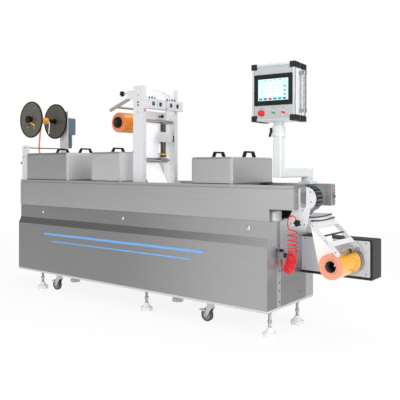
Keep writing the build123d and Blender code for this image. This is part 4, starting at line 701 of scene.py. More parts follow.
@dataclass
class Builder:
    """Makes the scene's own pieces and dresses the CAD nodes."""

    made: int = 0

    def piece(self, name: str, shapes: list[Shape], finishes: Iterable, body: str,
              smooth: float = 35.0) -> None:
        """Makes one object from shapes and puts it on its body.

        Args:
            name: The piece's name.
            shapes: Its shapes, in machine millimetres.
            finishes: Its finishes, by the shapes' numbers.
            body: The CAD body that it rides on.
            smooth: Faces that meet at less than this angle, in degrees, shade as one.
        """
        points, faces, numbers = join(shapes)
        mesh = bpy.data.meshes.new(name)
        mesh.from_pydata(row(points).tolist(), [], faces)
        coat(mesh, finishes)
        mesh.polygons.foreach_set("material_index", numbers.astype(np.int32))
        work = bmesh.new()
        work.from_mesh(mesh)
        bmesh.ops.remove_doubles(work, verts=work.verts, dist=1e-6)
        bmesh.ops.recalc_face_normals(work, faces=work.faces)
        work.to_mesh(mesh)
        work.free()
        mesh.shade_smooth()
        mesh.set_sharp_from_angle(angle=math.radians(smooth))
        obj = link(name, mesh)
        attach(obj, body)
        self.made += 1
        LOG.info("made %s on %s", name, body)

    def dress(self, node: str, *finishes: Finish, choose: Callable | None = None) -> None:
        """Gives a CAD node one finish all over, or its faces different finishes.

        Args:
            node: The node's name.
            finishes: The finishes.
            choose: A function of the faces' middles (x, y and z in machine millimetres) and their
                normals, which returns the number of each face's finish.
        """
        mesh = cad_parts[node].data
        coat(mesh, finishes)
        numbers = np.zeros(len(mesh.polygons))
        if choose:
            middles, normals = np.zeros(len(numbers) * 3), np.zeros(len(numbers) * 3)
            mesh.polygons.foreach_get("center", middles)
            mesh.polygons.foreach_get("normal", normals)
            numbers = choose(*(middles.reshape(-1, 3) / MM - SHIFT).T, normals.reshape(-1, 3).T)
        mesh.polygons.foreach_set("material_index", np.asarray(numbers, np.int32))


@dataclass
class Studio:
    """The pale floor, the soft lights and the camera."""

    eye: tuple = (1923.0, -3190.0, 1128.0)
    yaw: float = 37.83
    lens: float = 51.03
    rise: float = -0.085
    view_end: float = 200000.0
    floor_size: float = 60000.0
    floor_light: float = 0.88
    fade: tuple = (2200.0, 8000.0)
    room_light: float = 0.6
    bright_way: tuple = (0.9, -0.25, -0.35)
    mirror_light: tuple = (0.3, 1.0)
    middle: tuple = (-1200.0, 300.0, 800.0)
    # name, place, the square face's side, watts
    lamps: tuple = (
        ("right_lamp", (4200.0, -1400.0, 2600.0), 3000, 130),
        ("front_lamp", (-1400.0, -5600.0, 3000.0), 3000, 85),
        ("top_lamp", (-900.0, 1500.0, 4600.0), 3600, 70),
    )

    def floor(self) -> None:
        """Lays a plain white floor that shows the lamps' shadows only faintly."""
        half = self.floor_size * MM / 2
        mesh = bpy.data.meshes.new("studio_floor")
        corners = [(x * half, y * half, 0) for x, y in ((-1, -1), (1, -1), (1, 1), (-1, 1))]
        mesh.from_pydata(corners, [], [(0, 1, 2, 3)])
        paint = bpy.data.materials.new("studio_white")
        paint.use_nodes = True
        net = Net(paint.node_tree)
        plain = paint.node_tree.nodes["Principled BSDF"]
        plain.inputs["Base Color"].default_value = linear("#ffffff")
        plain.inputs["Roughness"].default_value = 0.9
        glow = net.add("Emission", {"Color": (1, 1, 1, 1), "Strength": 1.0})
        away = net.number("LENGTH", net.add("TexCoord").outputs["Object"])
        white = net.spread(away, [at * MM for at in self.fade], (self.floor_light, 1.0), smooth=True)
        path = net.add("LightPath").outputs
        seen = net.math("MAXIMUM", path["Is Camera Ray"], path["Is Glossy Ray"])
        seen = net.math("MAXIMUM", seen, path["Is Transmission Ray"])
        share = net.math("MULTIPLY", seen, white)
        both = net.add("MixShader", {0: share, 1: plain.outputs[0], 2: glow.outputs[0]})
        net.feed(paint.node_tree.nodes["Material Output"], "Surface", both.outputs[0])
        mesh.materials.append(paint)
        floor = link("studio_floor", mesh)

    def world(self) -> None:
        """Fills the room with soft white light, and shows as plain white.

        For mirrors the room is darker to the left and overhead than to the right, as a studio
        with one bright wall is.
        """
        world = bpy.data.worlds.new("studio_room")
        bpy.context.scene.world = world
        world.use_nodes = True
        net = Net(world.node_tree)
        back = world.node_tree.nodes["Background"]
        back.inputs["Color"].default_value = (1, 1, 1, 1)
        way = net.add("TexCoord").outputs["Generated"]
        turn = net.number("DOT_PRODUCT", way, self.bright_way)
        wall = net.spread(turn, (-1.0, 1.0), self.mirror_light, smooth=True)
        path = net.add("LightPath").outputs
        mirror = net.mix(path["Is Glossy Ray"], self.room_light, wall, "FLOAT")
        clear = net.math("MAXIMUM", path["Is Camera Ray"], path["Is Transmission Ray"])
        net.feed(back, "Strength", net.mix(clear, mirror, 1.0, "FLOAT"))

    def lights(self) -> None:
        """Adds the large soft lamps, which all face the machine's middle."""
        for name, place, size, watts in self.lamps:
            data = bpy.data.lights.new(name, "AREA")
            data.shape = "SQUARE"
            data.size = size * MM
            data.energy = watts
            lamp = link(name, data)
            start, end = Vector(row(place)), Vector(row(self.middle))
            lamp.location = start
            lamp.rotation_euler = (end - start).to_track_quat("-Z", "Y").to_euler()

    def camera(self) -> None:
        """Puts the camera where the photograph was taken from."""
        data = bpy.data.cameras.new("camera")
        data.lens = self.lens
        data.shift_y = self.rise
        data.clip_end = self.view_end * MM
        camera = link("camera", data)
        camera.location = Vector(row(self.eye))
        camera.rotation_euler = (math.radians(90), 0, math.radians(self.yaw))
        bpy.context.scene.camera = camera

    def build(self) -> None:
        """Builds the whole studio."""
        self.floor()
        self.world()
        self.lights()
        self.camera()
        bpy.context.scene.view_settings.view_transform = "Standard"


@dataclass
class AirHose:
    """The red coiled air hose between the bracket's fitting and the regulator."""

    diameter: float = 8.0
    mean_radius: float = 31.6
    turns: int = 18
    pitch: float = 8.5
    stretch: float = 5.0
    points_per_turn: int = 14
    length: float = 3.8
    axis_points: tuple = ((150, 66, 716), (150, 66, 560), (150, 64, 486), (105, 84, 452))
    bend_side: tuple = (0.371, 0.928, 0.0)
    top_route: tuple = ((179, 66, 767), (176, 65, 789), (160, 64, 807), (134, 63, 806), (119, 64, 786),
                        (114, 65, 748), (121, 66, 716))
    tail_route: tuple = ((91, 102, 473), (80, 108, 446), (58, 122, 428), (34, 141, 430), (23, 149, 446),
                         (23, 149, 465))

    def axis(self, t: np.ndarray) -> tuple[np.ndarray, np.ndarray]:
        """The coil's axis, a cubic curve with four control points, and its direction.

        Args:
            t: Places on the curve, from 0 at the top to 1 at the bottom.

        Returns:
            The points and the unit directions.
        """
        a, b, c, d = np.array(self.axis_points, float)
        t = t[:, None]
        point = (1 - t) ** 3 * a + 3 * (1 - t) ** 2 * t * b + 3 * (1 - t) * t**2 * c + t**3 * d
        return point, unit((1 - t) ** 2 * (b - a) + 2 * (1 - t) * t * (c - b) + t**2 * (d - c))

    def coil(self) -> np.ndarray:
        """The coil's points: a circle across the axis that sinks fast at the top and slowly at the bottom.

        Returns:
            Points from the top route's end to the tail's start, both left out.
        """
        fine = np.linspace(0, 1, 400)
        line, _ = self.axis(fine)
        run = np.concatenate([[0], np.cumsum(np.linalg.norm(np.diff(line, axis=0), axis=1))])
        side = np.array(self.bend_side)
        ends = []
        for where, place in ((0.0, self.top_route[-1]), (1.0, self.tail_route[0])):
            point, way = self.axis(np.array([where]))
            away = np.array(place, float) - point[0]
            ends.append(math.atan2(away @ side, away @ np.cross(side, way[0])))
        turns = self.turns + (ends[1] - ends[0]) / (2 * math.pi)
        s = np.linspace(0, 1, int(self.points_per_turn * turns) + 1)[1:-1]
        even = self.pitch * turns
        sunk = even * s + (run[-1] - even) * (1 - (1 - s) ** self.stretch)
        point, way = self.axis(np.interp(sunk, run, fine))
        angle = (ends[0] + 2 * math.pi * turns * s)[:, None]
        return point + self.mean_radius * (np.cos(angle) * np.cross(side, way) + np.sin(angle) * side)

    def build(self) -> None:
        """Builds the hose as one smooth spline."""
        points = row(np.concatenate([self.top_route, self.coil(), self.tail_route]))
        curve = bpy.data.curves.new("coiled_air_hose", "CURVE")
        curve.dimensions = "3D"
        spline = curve.splines.new("NURBS")
        spline.points.add(len(points) - 1)
        spline.points.foreach_set("co", np.column_stack([points, np.ones(len(points))]).ravel())
        spline.order_u = 3
        spline.use_endpoint_u = True
        spline.resolution_u = 4
        curve.bevel_depth = self.diameter * MM / 2
        curve.bevel_resolution = 3
        curve.use_fill_caps = True
        curve.materials.append(Finishes.red_hose.material())
        hose = link("coiled_air_hose", curve)
        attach(hose, "machine")
        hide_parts("hose_coil", "hose_top", "hose_tail")
        LOG.info("made the air hose")


# The machine's small pieces


@dataclass
class ConsoleDetail:
    """The screen's picture, the buttons, the caps' ribs, the handles' feet and the screws."""

    column: tuple = (10.0, 136.0)
    turn: float = 5.5
    front: float = -93.0
    half_width: float = 153.0
    half_depth: float = 93.0
    bottom: float = 1427.0
    top: float = 1801.0
    screen: tuple = (-109.0, 109.0, 1558.0, 1702.0)
    # left, low, width, height, finish, rise, columns, rows, step across, step up
    tiles: tuple = (
        (3, 127, 212, 14, 1, 0.2, 1, 1, 0, 0),
        (12, 132, 22, 4, 2, 0.35, 6, 1, 34, 0),
        (8, 26, 166, 94, 1, 0.2, 1, 1, 0, 0),
        (18, 56, 26, 3, 3, 0.35, 4, 3, 40, 22),
        (184, 34, 18, 8, 2, 0.35, 1, 3, 0, 26),
        (8, 5, 24, 14, 4, 0.35, 6, 1, 34, 0),
    )
    icon_finishes: tuple = (4, 5, 6, 7)
    stop_button: float = -86.0
    domed_buttons: tuple = ((1.0, 1), (73.0, 0))
    handle_reach: float = 30.0

    def placed(self, shapes: list[Shape]) -> list[Shape]:
        """Shapes in the console's own frame, turned and moved to its column.

        Args:
            shapes: The shapes.

        Returns:
            The shapes at their places on the machine.
        """
        angle = math.radians(self.turn)
        cos, sin = math.cos(angle), math.sin(angle)
        turn = np.array([[cos, sin, 0], [-sin, cos, 0], [0, 0, 1]])
        return [replace(shape, points=shape.points @ turn + (*self.column, 0.0)) for shape in shapes]

    def picture(self, builder: Builder) -> None:
        """The screen's picture: a pale page, a header strip, fields, side marks and a row of icons."""
        left, right, low, high = self.screen
        face = self.front - 1.0
        end = (right - 1, self.front - 0.05, high - 1)
        shapes = [soft_block((left + 1, face, low + 1), end, Y, 2, 0.3)]
        for x, z, width, height, finish, rise, columns, rows, across, up in self.tiles:
            for i, k in np.ndindex(columns, rows):
                number = self.icon_finishes[i % 4] if finish in self.icon_finishes else finish
                start = (left + x + across * i, face - rise, low + z + up * k)
                end = (start[0] + width, face + 0.1, start[2] + height)
                shapes.append(soft_block(start, end, Y, 1.5, 0.05, number))
        builder.piece("terminal_picture", self.placed(shapes), Finishes.screen, "console")

    def buttons(self, builder: Builder) -> None:
        """The mushroom stop button, two domed buttons in chromed collars, and a plate over each."""
        mushroom = [(15, 0), (15, -8), (19, -12), (20, -16), (18, -20), (11, -23), (0, -24)]
        collar = [(13.5, 0), (13.5, -3.2), (12, -5.5), (10.4, -5.5)]
        dome = [(10.3, -3), (10.3, -11), (8.5, -13), (0, -13.8)]
        face, z = self.front + 4, self.bottom + 51
        shapes = [turned(mushroom, (self.stop_button, face, z), Y, 32)]
        for x, number in self.domed_buttons:
            shapes.append(turned(collar, (x, face, z), Y, 28, 2))
            shapes.append(turned(dome, (x, face, z), Y, 28, number))
        for x in (self.stop_button, *(x for x, _ in self.domed_buttons)):
            shapes.append(soft_block((x - 9, face - 0.8, z + 29), (x + 9, face, z + 34), Y, 1, 0.2, 3))
        finishes = [Finishes.red, Finishes.green, Finishes.bright, Finishes.label_grey]
        builder.piece("button_heads", self.placed(shapes), finishes, "console")

    def caps(self, builder: Builder) -> None:
        """Ribs on the corner blocks' outer faces, and a screw in each."""
        shapes = []
        for side, depth, low in product((-1, 1), (-1, 1), (self.bottom - 4, self.top - 34)):
            x = sorted(side * (self.half_width + out) for out in (3.8, 5.8))
            for i in range(4):
                first = depth * (self.half_depth - 78 + 20 * i)
                y = sorted((first, first + depth * 12))
                shapes.append(soft_block((x[0], y[0], low + 5), (x[1], y[1], low + 33), X, 2.5, 0.8))
            place = (side * (self.half_width - 12), depth * (self.half_depth + 4), low + 19)
            shapes += screws([place], Y, depth, 4, 2, 1)
        finishes = [Finishes.black, Finishes.dark_screw]
        builder.piece("corner_block_ribs", self.placed(shapes), finishes, "console")

    def handles(self, builder: Builder) -> None:
        """The handles' round grips, their clamps and the four feet on the console's sides."""
        middle = (self.bottom + self.top) / 2
        shapes = []
        for side in (-1, 1):
            x = side * (self.half_width + self.handle_reach)
            foot = [(15, 0), (15, side * 5), (12, side * 8), (0, side * 9)]
            for z in (middle - 135, middle + 113):
                shapes.append(soft_block((x - 9, -19, z - 1), (x + 9, 19, z + 23), Z, 6, 1.5))
                shapes += blocks(Z, [
                    ((x - 9.6, -19.6, z + at), (x + 9.6, 19.6, z + at + 2), 6, 0.5, 1) for at in (5, 15)])
                shapes.append(turned(foot, (side * self.half_width, 0, z + 11), X, 28, 2))
            for z in np.arange(middle - 100, middle + 101, 40):
                shapes.append(soft_block((x - 7.2, -17, z - 1), (x + 7.2, 17, z + 1), Z, 4, 0.4, 2))
        finishes = [Finishes.profile, Finishes.dark_screw, Finishes.bright]
        builder.piece("handle_clamps", self.placed(shapes), finishes, "console")

    def build(self, builder: Builder) -> None:
        """Builds all of the console's small pieces."""
        for part in (self.picture, self.buttons, self.caps, self.handles):
            part(builder)


@dataclass
class GuardDetail:
    """The seal round each hood's foot, and the handles' feet."""

    foot: float = 1000.0
    seal: tuple = (1.0, 7.0)
    seal_out: float = 1.2
    corner_gap: float = 10.0
    handle_inset: float = 11.0
    handle_reach: float = 68.0

    def build(self, builder: Builder) -> None:
        """Builds the pieces of the three hoods."""
        for station in STATIONS:
            hood = np.array(machine_box(f"{station}_guard"))
            handles = np.array(machine_box(f"{station}_guard_handles"))
            shapes = []
            for axis, end in np.ndindex(2, 2):
                box = hood.copy()
                box[:, axis] = sorted((hood[end, axis], hood[end, axis] + (2 * end - 1) * self.seal_out))
                box[:, 1 - axis] += (self.corner_gap, -self.corner_gap)
                box[:, 2] = np.add(self.foot, self.seal)
                shapes.append(soft_block(*box, Z, 0.5, 0.2))
            middle = hood[:, 1].mean()
            top = hood[1, 2] if hood[1, 2] < handles[0, 2] + 1 else handles[0, 2]
            ends = handles[:, 0] + (self.handle_inset, -self.handle_inset)
            for x, y in product(ends, (middle - self.handle_reach, middle + self.handle_reach)):
                shapes.append(soft_block((x - 13, y - 15, top), (x + 13, y + 15, top + 4), Z, 8, 1.5, 1))
            builder.piece(f"{station}_guard_fittings", shapes, [Finishes.rubber, Finishes.black],
                          f"{station}_hood")


@dataclass
class WinderDetail:
    """The edge trim's strips, a smoked sheet in the disc's slot that stands for the film there and is tinted
    dark as painted shade, and the winder's small fittings.
    """

    hub: float = 33.2
    strip_y: float = 325.0
    strip_width: float = 20.0
    strip_points: int = 40
    route: tuple = ((-2840, 1448), (-2853, 1368), (-2857, 1290), (-2845, 1255), (-2763.5, 1218),
                    (-2754, 1190), (-2732, 1020), (-2700, 968))
    slot_turn: tuple = (-125.0, -65.0)
    slot_radii: tuple = (105.8, 84.2)
    slot_faces: tuple = (231.5, 234.5)
    slot_points: int = 24
    disc_front: float = 230.0
    disc_starts: tuple = (228.0, 522.0)

    def strips(self, builder: Builder) -> None:
        """The strip that runs up over the rods to the hub, its loose tail and the yellow end on the disc."""
        x, z = WINDER_AXIS
        edge = x + self.hub
        line = np.array([(edge, z), (edge, z - 60), *self.route], float)
        steps = np.linspace(0, len(line) - 1, self.strip_points)
        strip_x, strip_z = (np.interp(steps, np.arange(len(line)), values) for values in line.T)
        path = np.column_stack([strip_x, np.full(self.strip_points, self.strip_y), strip_z])
        builder.piece("edge_trim_strip", [tape(path, (0, self.strip_width, 0))], [Finishes.trim_web],
                      "machine")
        t = np.linspace(0, 1, 12)
        tail = np.column_stack([edge - 10 + 6 * t**2, 428 + 5 * np.sin(5 * t), z - 5 - 130 * t])
        builder.piece("edge_trim_tail", [tape(tail, (0, 9, 0))], [Finishes.film_web], "winder")
        t = np.linspace(0, 1, 24)
        bow = np.column_stack([x - 62 + 130 * t, 224 - 16 * np.sin(np.pi * t),
                               z - 74 + 44 * np.sin(np.pi * (0.12 + 0.8 * t))])
        builder.piece("trim_end_on_disc", [tape(bow, (0, -10, -13), 0.9)], [Finishes.trim_yellow],
                      "winder")

    def discs(self, builder: Builder) -> None:
        """A smoked sheet in the slot, tinted dark as painted shade, the hub's screws, the disc's bright studs
        and both discs' rims.
        """
        x, z = WINDER_AXIS
        turn = np.radians(np.linspace(*self.slot_turn, self.slot_points))
        angle, radius = np.append(turn, turn[::-1]), np.repeat(self.slot_radii, self.slot_points)
        outline = np.column_stack([x + radius * np.cos(angle), 0 * angle, z + radius * np.sin(angle)])
        # Painted shade: the sheet stands for the film in the slot, and its dark smoked tint darkens what
        # would show white through it.
        film = skin(np.array([outline + (0, y, 0) for y in self.slot_faces]))
        builder.piece("disc_slot_film_painted_shade", [film], [Finishes.smoked], "winder")
        bolts = around(WINDER_AXIS, 22, self.disc_front, (0.5, 1.76, 3.0, 4.3, 5.5))
        studs = around(WINDER_AXIS, 128, self.disc_front, (1.1, 3.3))
        shapes = screws(bolts, Y, -1, 3.2, 2) + screws(studs, Y, -1, 4, 1.5, 1)
        rim = [(169, 2.2), (169, -0.4), (179.9, -0.4), (179.9, 10.4), (169, 10.4), (169, 7.8)]
        shapes += [turned(rim, (x, y, z), Y, 90, 2) for y in self.disc_starts]
        builder.piece("disc_screws", shapes, [Finishes.dark_screw, Finishes.bright, Finishes.band],
                      "winder")

    def plates(self, builder: Builder) -> None:
        """The rods' end screws, the side plates' screws and the height knob."""
        fronts = [(x, PLATE_FRONT, z) for x, z in (*ROD_AXES, (-2700, 960), (-2660, 960))]
        shapes = screws(fronts, Y, -1, 7, 4)
        shapes += screws([(-2690, 564, z) for z in (1500, 1440, 1380)], Y, -1, 6, 4)
        knob = [(3.5, 1), (3.5, -8), (10, -9), (11, -18), (8, -22), (0, -23)]
        shapes.append(turned(knob, (-2797, 90, 1157), X, 20, 1))
        builder.piece("winder_plate_screws", shapes, [Finishes.screw, Finishes.hub], "machine")

    def build(self, builder: Builder) -> None:
        """Builds all of the winder's small pieces."""
        for part in (self.strips, self.discs, self.plates):
            part(builder)


@dataclass
class GantryDetail:
    """The posts' bolts, the valve bodies' connectors, their pipes and push-in fittings."""

    post: tuple = (-1307.0, -1200.0)
    web_front: float = 93.0
    valve_face: float = -1140.0
    valve: tuple = (1587.0, 1665.0)
    bodies: tuple = ((95.0, 302.0), (310.0, 513.0))
    fitting_inset: float = 26.0
    # where each top fitting stands along Y, and its collar's finish
    fittings: tuple = ((130, 3), (162, 2), (194, 3), (345, 2), (377, 3), (409, 2), (441, 2))
    # from, to, rise, lean
    pipes: tuple = ((130, 345, 62, -10), (162, 377, 50, 6), (194, 409, 36, 14))

    def posts(self, builder: Builder) -> None:
        """Bolts sunk in the web's holes, bolts at the foot and down the side, and a red cap."""
        middle, side = sum(self.post) / 2, self.post[1]
        shapes = []
        for z, radius in ((1695, 4.4), (1640, 8.2), (1615, 8.2), (1560, 4.4)):
            shapes += screws([(middle, self.web_front, z)], Y, -1, radius, 2.6)
        shapes += screws([(middle + s, PLATE_FRONT, 970) for s in (-36, 36)], Y, -1, 5, 3, 1)
        shapes += screws([(side, 111, z) for z in (1050, 1180, 1310, 1440)], X, 1, 3.5, 2, 1)
        shapes.append(turned([(6, 0), (6, 4), (4, 7), (0, 7)], (side, 112, 1570), X, 16, 2))
        builder.piece("gantry_bolts", shapes, [Finishes.dark_screw, Finishes.screw, Finishes.red],
                      "machine")

    def valves(self, builder: Builder) -> None:
        """Connectors in the ports, corner screws, joint lines, and top fittings with coloured collars."""
        low, high = self.valve
        face = self.valve_face
        shapes = []
        for start, end in self.bodies:
            middle = (start + end) / 2
            corners = [(face, y, z) for y in (start + 9, end - 9) for z in (low + 9, high - 9)]
            shapes += screws(corners, X, 1, 3.6, 2)
            shapes += blocks(X, [
                ((face - 0.4, middle - 0.8, low + 2), (face + 0.3, middle + 0.8, high - 2), 0.5, 0.1)])
            for y in (start + 56, end - 66):
                port = ((face - 6, y - 10, low + 26), (face + 7, y + 10, high - 26))
                shapes.append(soft_block(*port, X, 4, 1.5))
                plug = [(6, 0), (6, 6), (0, 6)]
                shapes.append(turned(plug, (face + 6, y, (low + high) / 2), X, 16, 1))
        for y, collar in self.fittings:
            place = (face - self.fitting_inset, y, high)
            shapes.append(turned([(7, 0), (7, 12), (5.5, 14), (5.5, 20)], place, Z, 16))
            shapes.append(turned([(6.6, 14), (6.6, 19), (4.2, 20)], place, Z, 16, collar))
        finishes = [Finishes.black, Finishes.hub, Finishes.blue_knob, Finishes.white_paint]
        builder.piece("valve_fittings", shapes, finishes, "machine")

    def air_pipes(self, builder: Builder) -> None:
        """White air pipes that arch between the valve bodies' top fittings."""
        t = np.linspace(0, 1, 24)
        arch = np.sin(np.pi * t)
        x, z = self.valve_face - self.fitting_inset, self.valve[1] + 16
        shapes = []
        for first, last, rise, lean in self.pipes:
            path = np.column_stack([x + lean * arch, first + (last - first) * t, z + rise * arch**0.55])
            shapes.append(tube(path, 3.8, 10, (1, 0.05, 0.02)))
        builder.piece("valve_air_pipes", shapes, [Finishes.pipe], "machine")

    def sensors(self, builder: Builder) -> None:
        """The film guide plate, the tube post's yellow tape, a film sensor by the roll and a knob."""
        guide = soft_block((-1222, 299, 1327), (-1219, 482, 1410), X, 3, 0.8)
        marks = screws([(-1219, 470, z) for z in (1345, 1392)], X, 1, 4, 2, 1)
        builder.piece("film_guide_plate", [guide, *marks], [Finishes.white_paint, Finishes.screw],
                      "machine")
        knob = [(6, 0), (6, 30), (13, 31), (14.5, 36), (13, 43), (0, 44)]
        shapes = [
            turned([(27.2, 0), (27.2, 9), (22.6, 9)], (-1250, 390, 1222), Z, 32),
            soft_block((-1336, 300, 1352), (-1312, 326, 1408), Z, 4, 1.5, 1),
            turned([(7, 0), (7, -5), (5, -7), (0, -7)], (-1324, 300, 1392), Y, 16, 2),
            turned(knob, (-1299, 392, 1545), X, 24, 1),
        ]
        builder.piece("gantry_fittings", shapes, [Finishes.label_yellow, Finishes.black, Finishes.red],
                      "machine")

    def build(self, builder: Builder) -> None:
        """Builds all of the gantry's small pieces."""
        for part in (self.posts, self.valves, self.air_pipes, self.sensors):
            part(builder)


@dataclass
class RollDetail:
    """The ends of the two film rolls: a knurled chuck on top, a bolted mandrel below."""

    chuck: float = 145.0
    ribs: int = 28
    rib_circle: float = 45.6
    mandrel: float = 220.0

    def build(self, builder: Builder) -> None:
        """Builds the chuck's ribs and bore, and the mandrel's end with its bolt."""
        x, z = TOP_ROLL_AXIS
        angles = [2 * math.pi * i / self.ribs for i in range(self.ribs)]
        starts, ends = (around(TOP_ROLL_AXIS, self.rib_circle, self.chuck + y, angles) for y in (1.5, 12.5))
        shapes = [tube(path, 1.4, 6, (0, 0.01, 1)) for path in zip(starts, ends)]
        face = [(44, 0), (44, -1.5), (40, -2), (38, -0.8), (30, -0.8), (28, -2), (24.5, -2)]
        bore = [(22.2, 0), (22.2, -1.5), (12, -1.5), (10, 0), (0, 0)]
        shapes.append(turned(face, (x, self.chuck, z), Y, 40))
        shapes.append(turned(bore, (x, self.chuck - 12.1, z), Y, 28, 1))
        builder.piece("top_chuck_ribs", shapes, [Finishes.black, Finishes.tube], "top_roll")
        x, z = BOTTOM_ROLL_AXIS
        end = [(37, 0), (37, -6), (34, -8), (30, -8), (28, -4), (16, -4), (15, -12), (0, -12)]
        shapes = [turned(end, (x, self.mandrel, z), Y, 36)]
        shapes += screws([(x, self.mandrel - 12, z)], Y, -1, 8, 7, 1)
        angles = (0.4, 2.5, 4.6)
        starts, ends = (around(BOTTOM_ROLL_AXIS, 24, self.mandrel - y, angles) for y in (4, 8))
        shapes += [tube(path, 3, 8, (0, 0.01, 1), 1) for path in zip(starts, ends)]
        core = [(38.2, 3), (38.2, -0.8), (46, -0.8), (46, 0.1)]
        shapes.append(turned(core, (x, 145, z), Y, 40, 2))
        builder.piece("bottom_mandrel_end", shapes, [Finishes.black, Finishes.bright, Finishes.core],
                      "bottom_roll")


@dataclass
class EndDetail:
    """The infeed end: the beams' end plates, the switch, the bracket's screws and the cable box."""

    beam_end: float = 183.0
    beams: tuple = ((21.0, 86.0), (572.0, 637.0))
    knob: tuple = (45.0, 149.0, 532.0)

    def beam_ends(self, builder: Builder) -> None:
        """Dark bolts in the beams' bores, and the rear end plate with its rocker switch and lamps."""
        x = self.beam_end
        shapes = []
        for low, high in self.beams:
            middle = (low + high) / 2
            shapes += screws([(x - 2, middle, z) for z in (858, 900, 927, 968)], X, 1, 4.4, 2.6)
            shapes += blocks(X, [((x - 0.2, low + 2, 989), (x + 0.8, high - 2, 990.5), 0.5, 0.1)])
        edge = self.beams[1][1]
        middle = edge - 17
        shapes += blocks(X, [
            ((x, edge - 31, 852), (x + 4, edge - 3, 990), 3, 0.8, 1),
            ((x + 4, middle - 10, 898), (x + 7, middle + 10, 938), 3, 0.8),
            ((x + 6, middle - 7, 902), (x + 12, middle + 7, 921), 2, 1.5, 2),
            ((x + 6, middle - 7, 921), (x + 9, middle + 7, 934), 2, 1.5, 3),
        ])
        shapes += screws([(x + 4, middle, z) for z in (864, 980)], X, 1)
        lamp = [(6, 0), (6, 3), (4, 5), (0, 5)]
        shapes += [turned(lamp, (x + 4, middle, z), X, 16, 4) for z in (952, 878)]
        shapes += blocks(Y, [
            ((150, 571.2, 852), (151.6, 572.1, 986), 0.5, 0.2),
            ((153, 570.6, 904), (159, 572.1, 910), 2, 0.4, 2),
            ((153, 570.6, 936), (159, 572.1, 942), 2, 0.4, 2),
        ])
        finishes = [Finishes.dark_screw, Finishes.beam, Finishes.green, Finishes.bright, Finishes.red]
        builder.piece("beam_end_fittings", shapes, finishes, "machine")

    def bracket(self, builder: Builder) -> None:
        """Screws on the bracket plate and by its slot."""
        shapes = []
        for radius, rise, number, places in (
            (4.2, 2.4, 0, ((165, 962), (165, 925), (165, 880), (268, 962), (272, 900))),
            (5, 3, 1, ((128, 800), (128, 752), (226, 750))),
            (6, 3, 1, ((214, 843),)),
        ):
            shapes += screws([(x, PLATE_FRONT, z) for x, z in places], Y, -1, radius, rise, number)
        builder.piece("bracket_screws", shapes, [Finishes.dark_screw, Finishes.screw], "machine")

    def cabinet(self, builder: Builder) -> None:
        """The cabinet end's screws, pale cable box, black glands, orange mark and regulator knob."""
        shapes = screws([(0, 164, z) for z in (587, 418, 340, 285, 210)], X, 1, 5, 2.6)
        shapes += screws([(0, y, z) for y in (440, 470) for z in (700, 230)], X, 1, finish=3)
        shapes += blocks(X, [
            ((0, 158, 611), (1.2, 168, 622), 1, 0.3, 1),
            ((0, 169, 160), (1.4, 172, 755), 0.6, 0.2, 5),
            ((0, 54, 762), (30, 140, 830), 14, 3, 2),
            ((30, 60, 768), (31, 134, 824), 10, 0.4, 2),
            ((0, 142, 768), (24, 186, 826), 4, 2),
        ])
        gland = [(9, 0), (9, 8), (7, 10), (7, 18), (0, 18)]
        shapes += [turned(gland, (24, y, z), X, 16) for y, z in ((153, 808), (174, 808), (163, 784))]
        head = [(9, 0), (9, 4), (15, 5), (16, 15), (13, 19), (0, 19)]
        ring = [(13, 2), (17, 2), (17, 5.5), (13, 5.5)]
        shapes += [turned(head, self.knob, X), turned(ring, self.knob, X, 28, 4)]
        finishes = [Finishes.black, Finishes.orange_mark, Finishes.white_paint, Finishes.screw,
                    Finishes.blue_knob, Finishes.bright]
        builder.piece("cabinet_end_fittings", shapes, finishes, "machine")

    def build(self, builder: Builder) -> None:
        """Builds all of the infeed end's small pieces."""
        for part in (self.beam_ends, self.bracket, self.cabinet):
            part(builder)


@dataclass
class CabinetDetail:
    """The front cover's bright latches with their slots, and the two blue stripes."""

    latches: tuple = (-2385.0, -1352.0, -156.0)
    height: float = 710.0
    face: float = 21.0
    stripes: tuple = ((-2343.0, -532.0, 508.0, 526.0), (-2226.0, -646.0, 450.0, 460.0))

    def build(self, builder: Builder) -> None:
        """Builds the latches and the stripes."""
        shapes = []
        latch = [(13.5, 2), (13.5, -0.5), (11.5, -2.2), (6, -2.8), (0, -2.8)]
        for x in self.latches:
            shapes.append(turned(latch, (x, self.face, self.height), Y, 28))
            start = (x - 7, self.face - 3.4, self.height - 1.3)
            shapes.append(soft_block(start, np.add(start, (14, 1.4, 2.6)), Y, 1, 0.2, 1))
        builder.piece("cover_latches", shapes, [Finishes.bright, Finishes.dark_screw], "machine")
        rows = [((left, -0.6, low), (right, 0.05, high), 2, 0.1) for left, right, low, high in self.stripes]
        builder.piece("side_stripes", blocks(Y, rows), [Finishes.blue_band], "machine")


@dataclass
class RunningGear:
    """The threads on the levelling feet's stems, and the casters' brake pedals."""

    foot_x: tuple = (-2440.0, -1130.0, -16.0)
    foot_y: tuple = (60.0, 440.0)
    thread: tuple = (62.0, 149.0)
    thread_points: int = 71
    crest: float = 10.7
    root: float = 10.05

    def build(self, builder: Builder) -> None:
        """Builds the threads and the pedals."""
        radius = np.where(np.arange(self.thread_points) % 2, self.crest, self.root)
        profile = np.column_stack([radius, np.linspace(*self.thread, self.thread_points)])
        threads = [turned(profile, (x, y, 0), Z, 20) for x in self.foot_x for y in self.foot_y]
        builder.piece("stem_threads", threads, [Finishes.stem], "machine", smooth=20)
        for corner in CORNERS:
            x, y, _ = np.mean(machine_box(f"caster_wheel_{corner}"), axis=0)
            shapes = [soft_block((x - 64, y - 15, 82), (x - 34, y + 15, 88), Z, 4, 1.5)]
            for side in (y - 22, y + 21):
                shapes.append(soft_block((x - 40, side, 80), (x - 6, side + 1, 96), Y, 4, 0.3, 1))
            builder.piece(f"brake_pedal_{corner}", shapes, [Finishes.hub, Finishes.fork],
                          f"caster_{corner}")


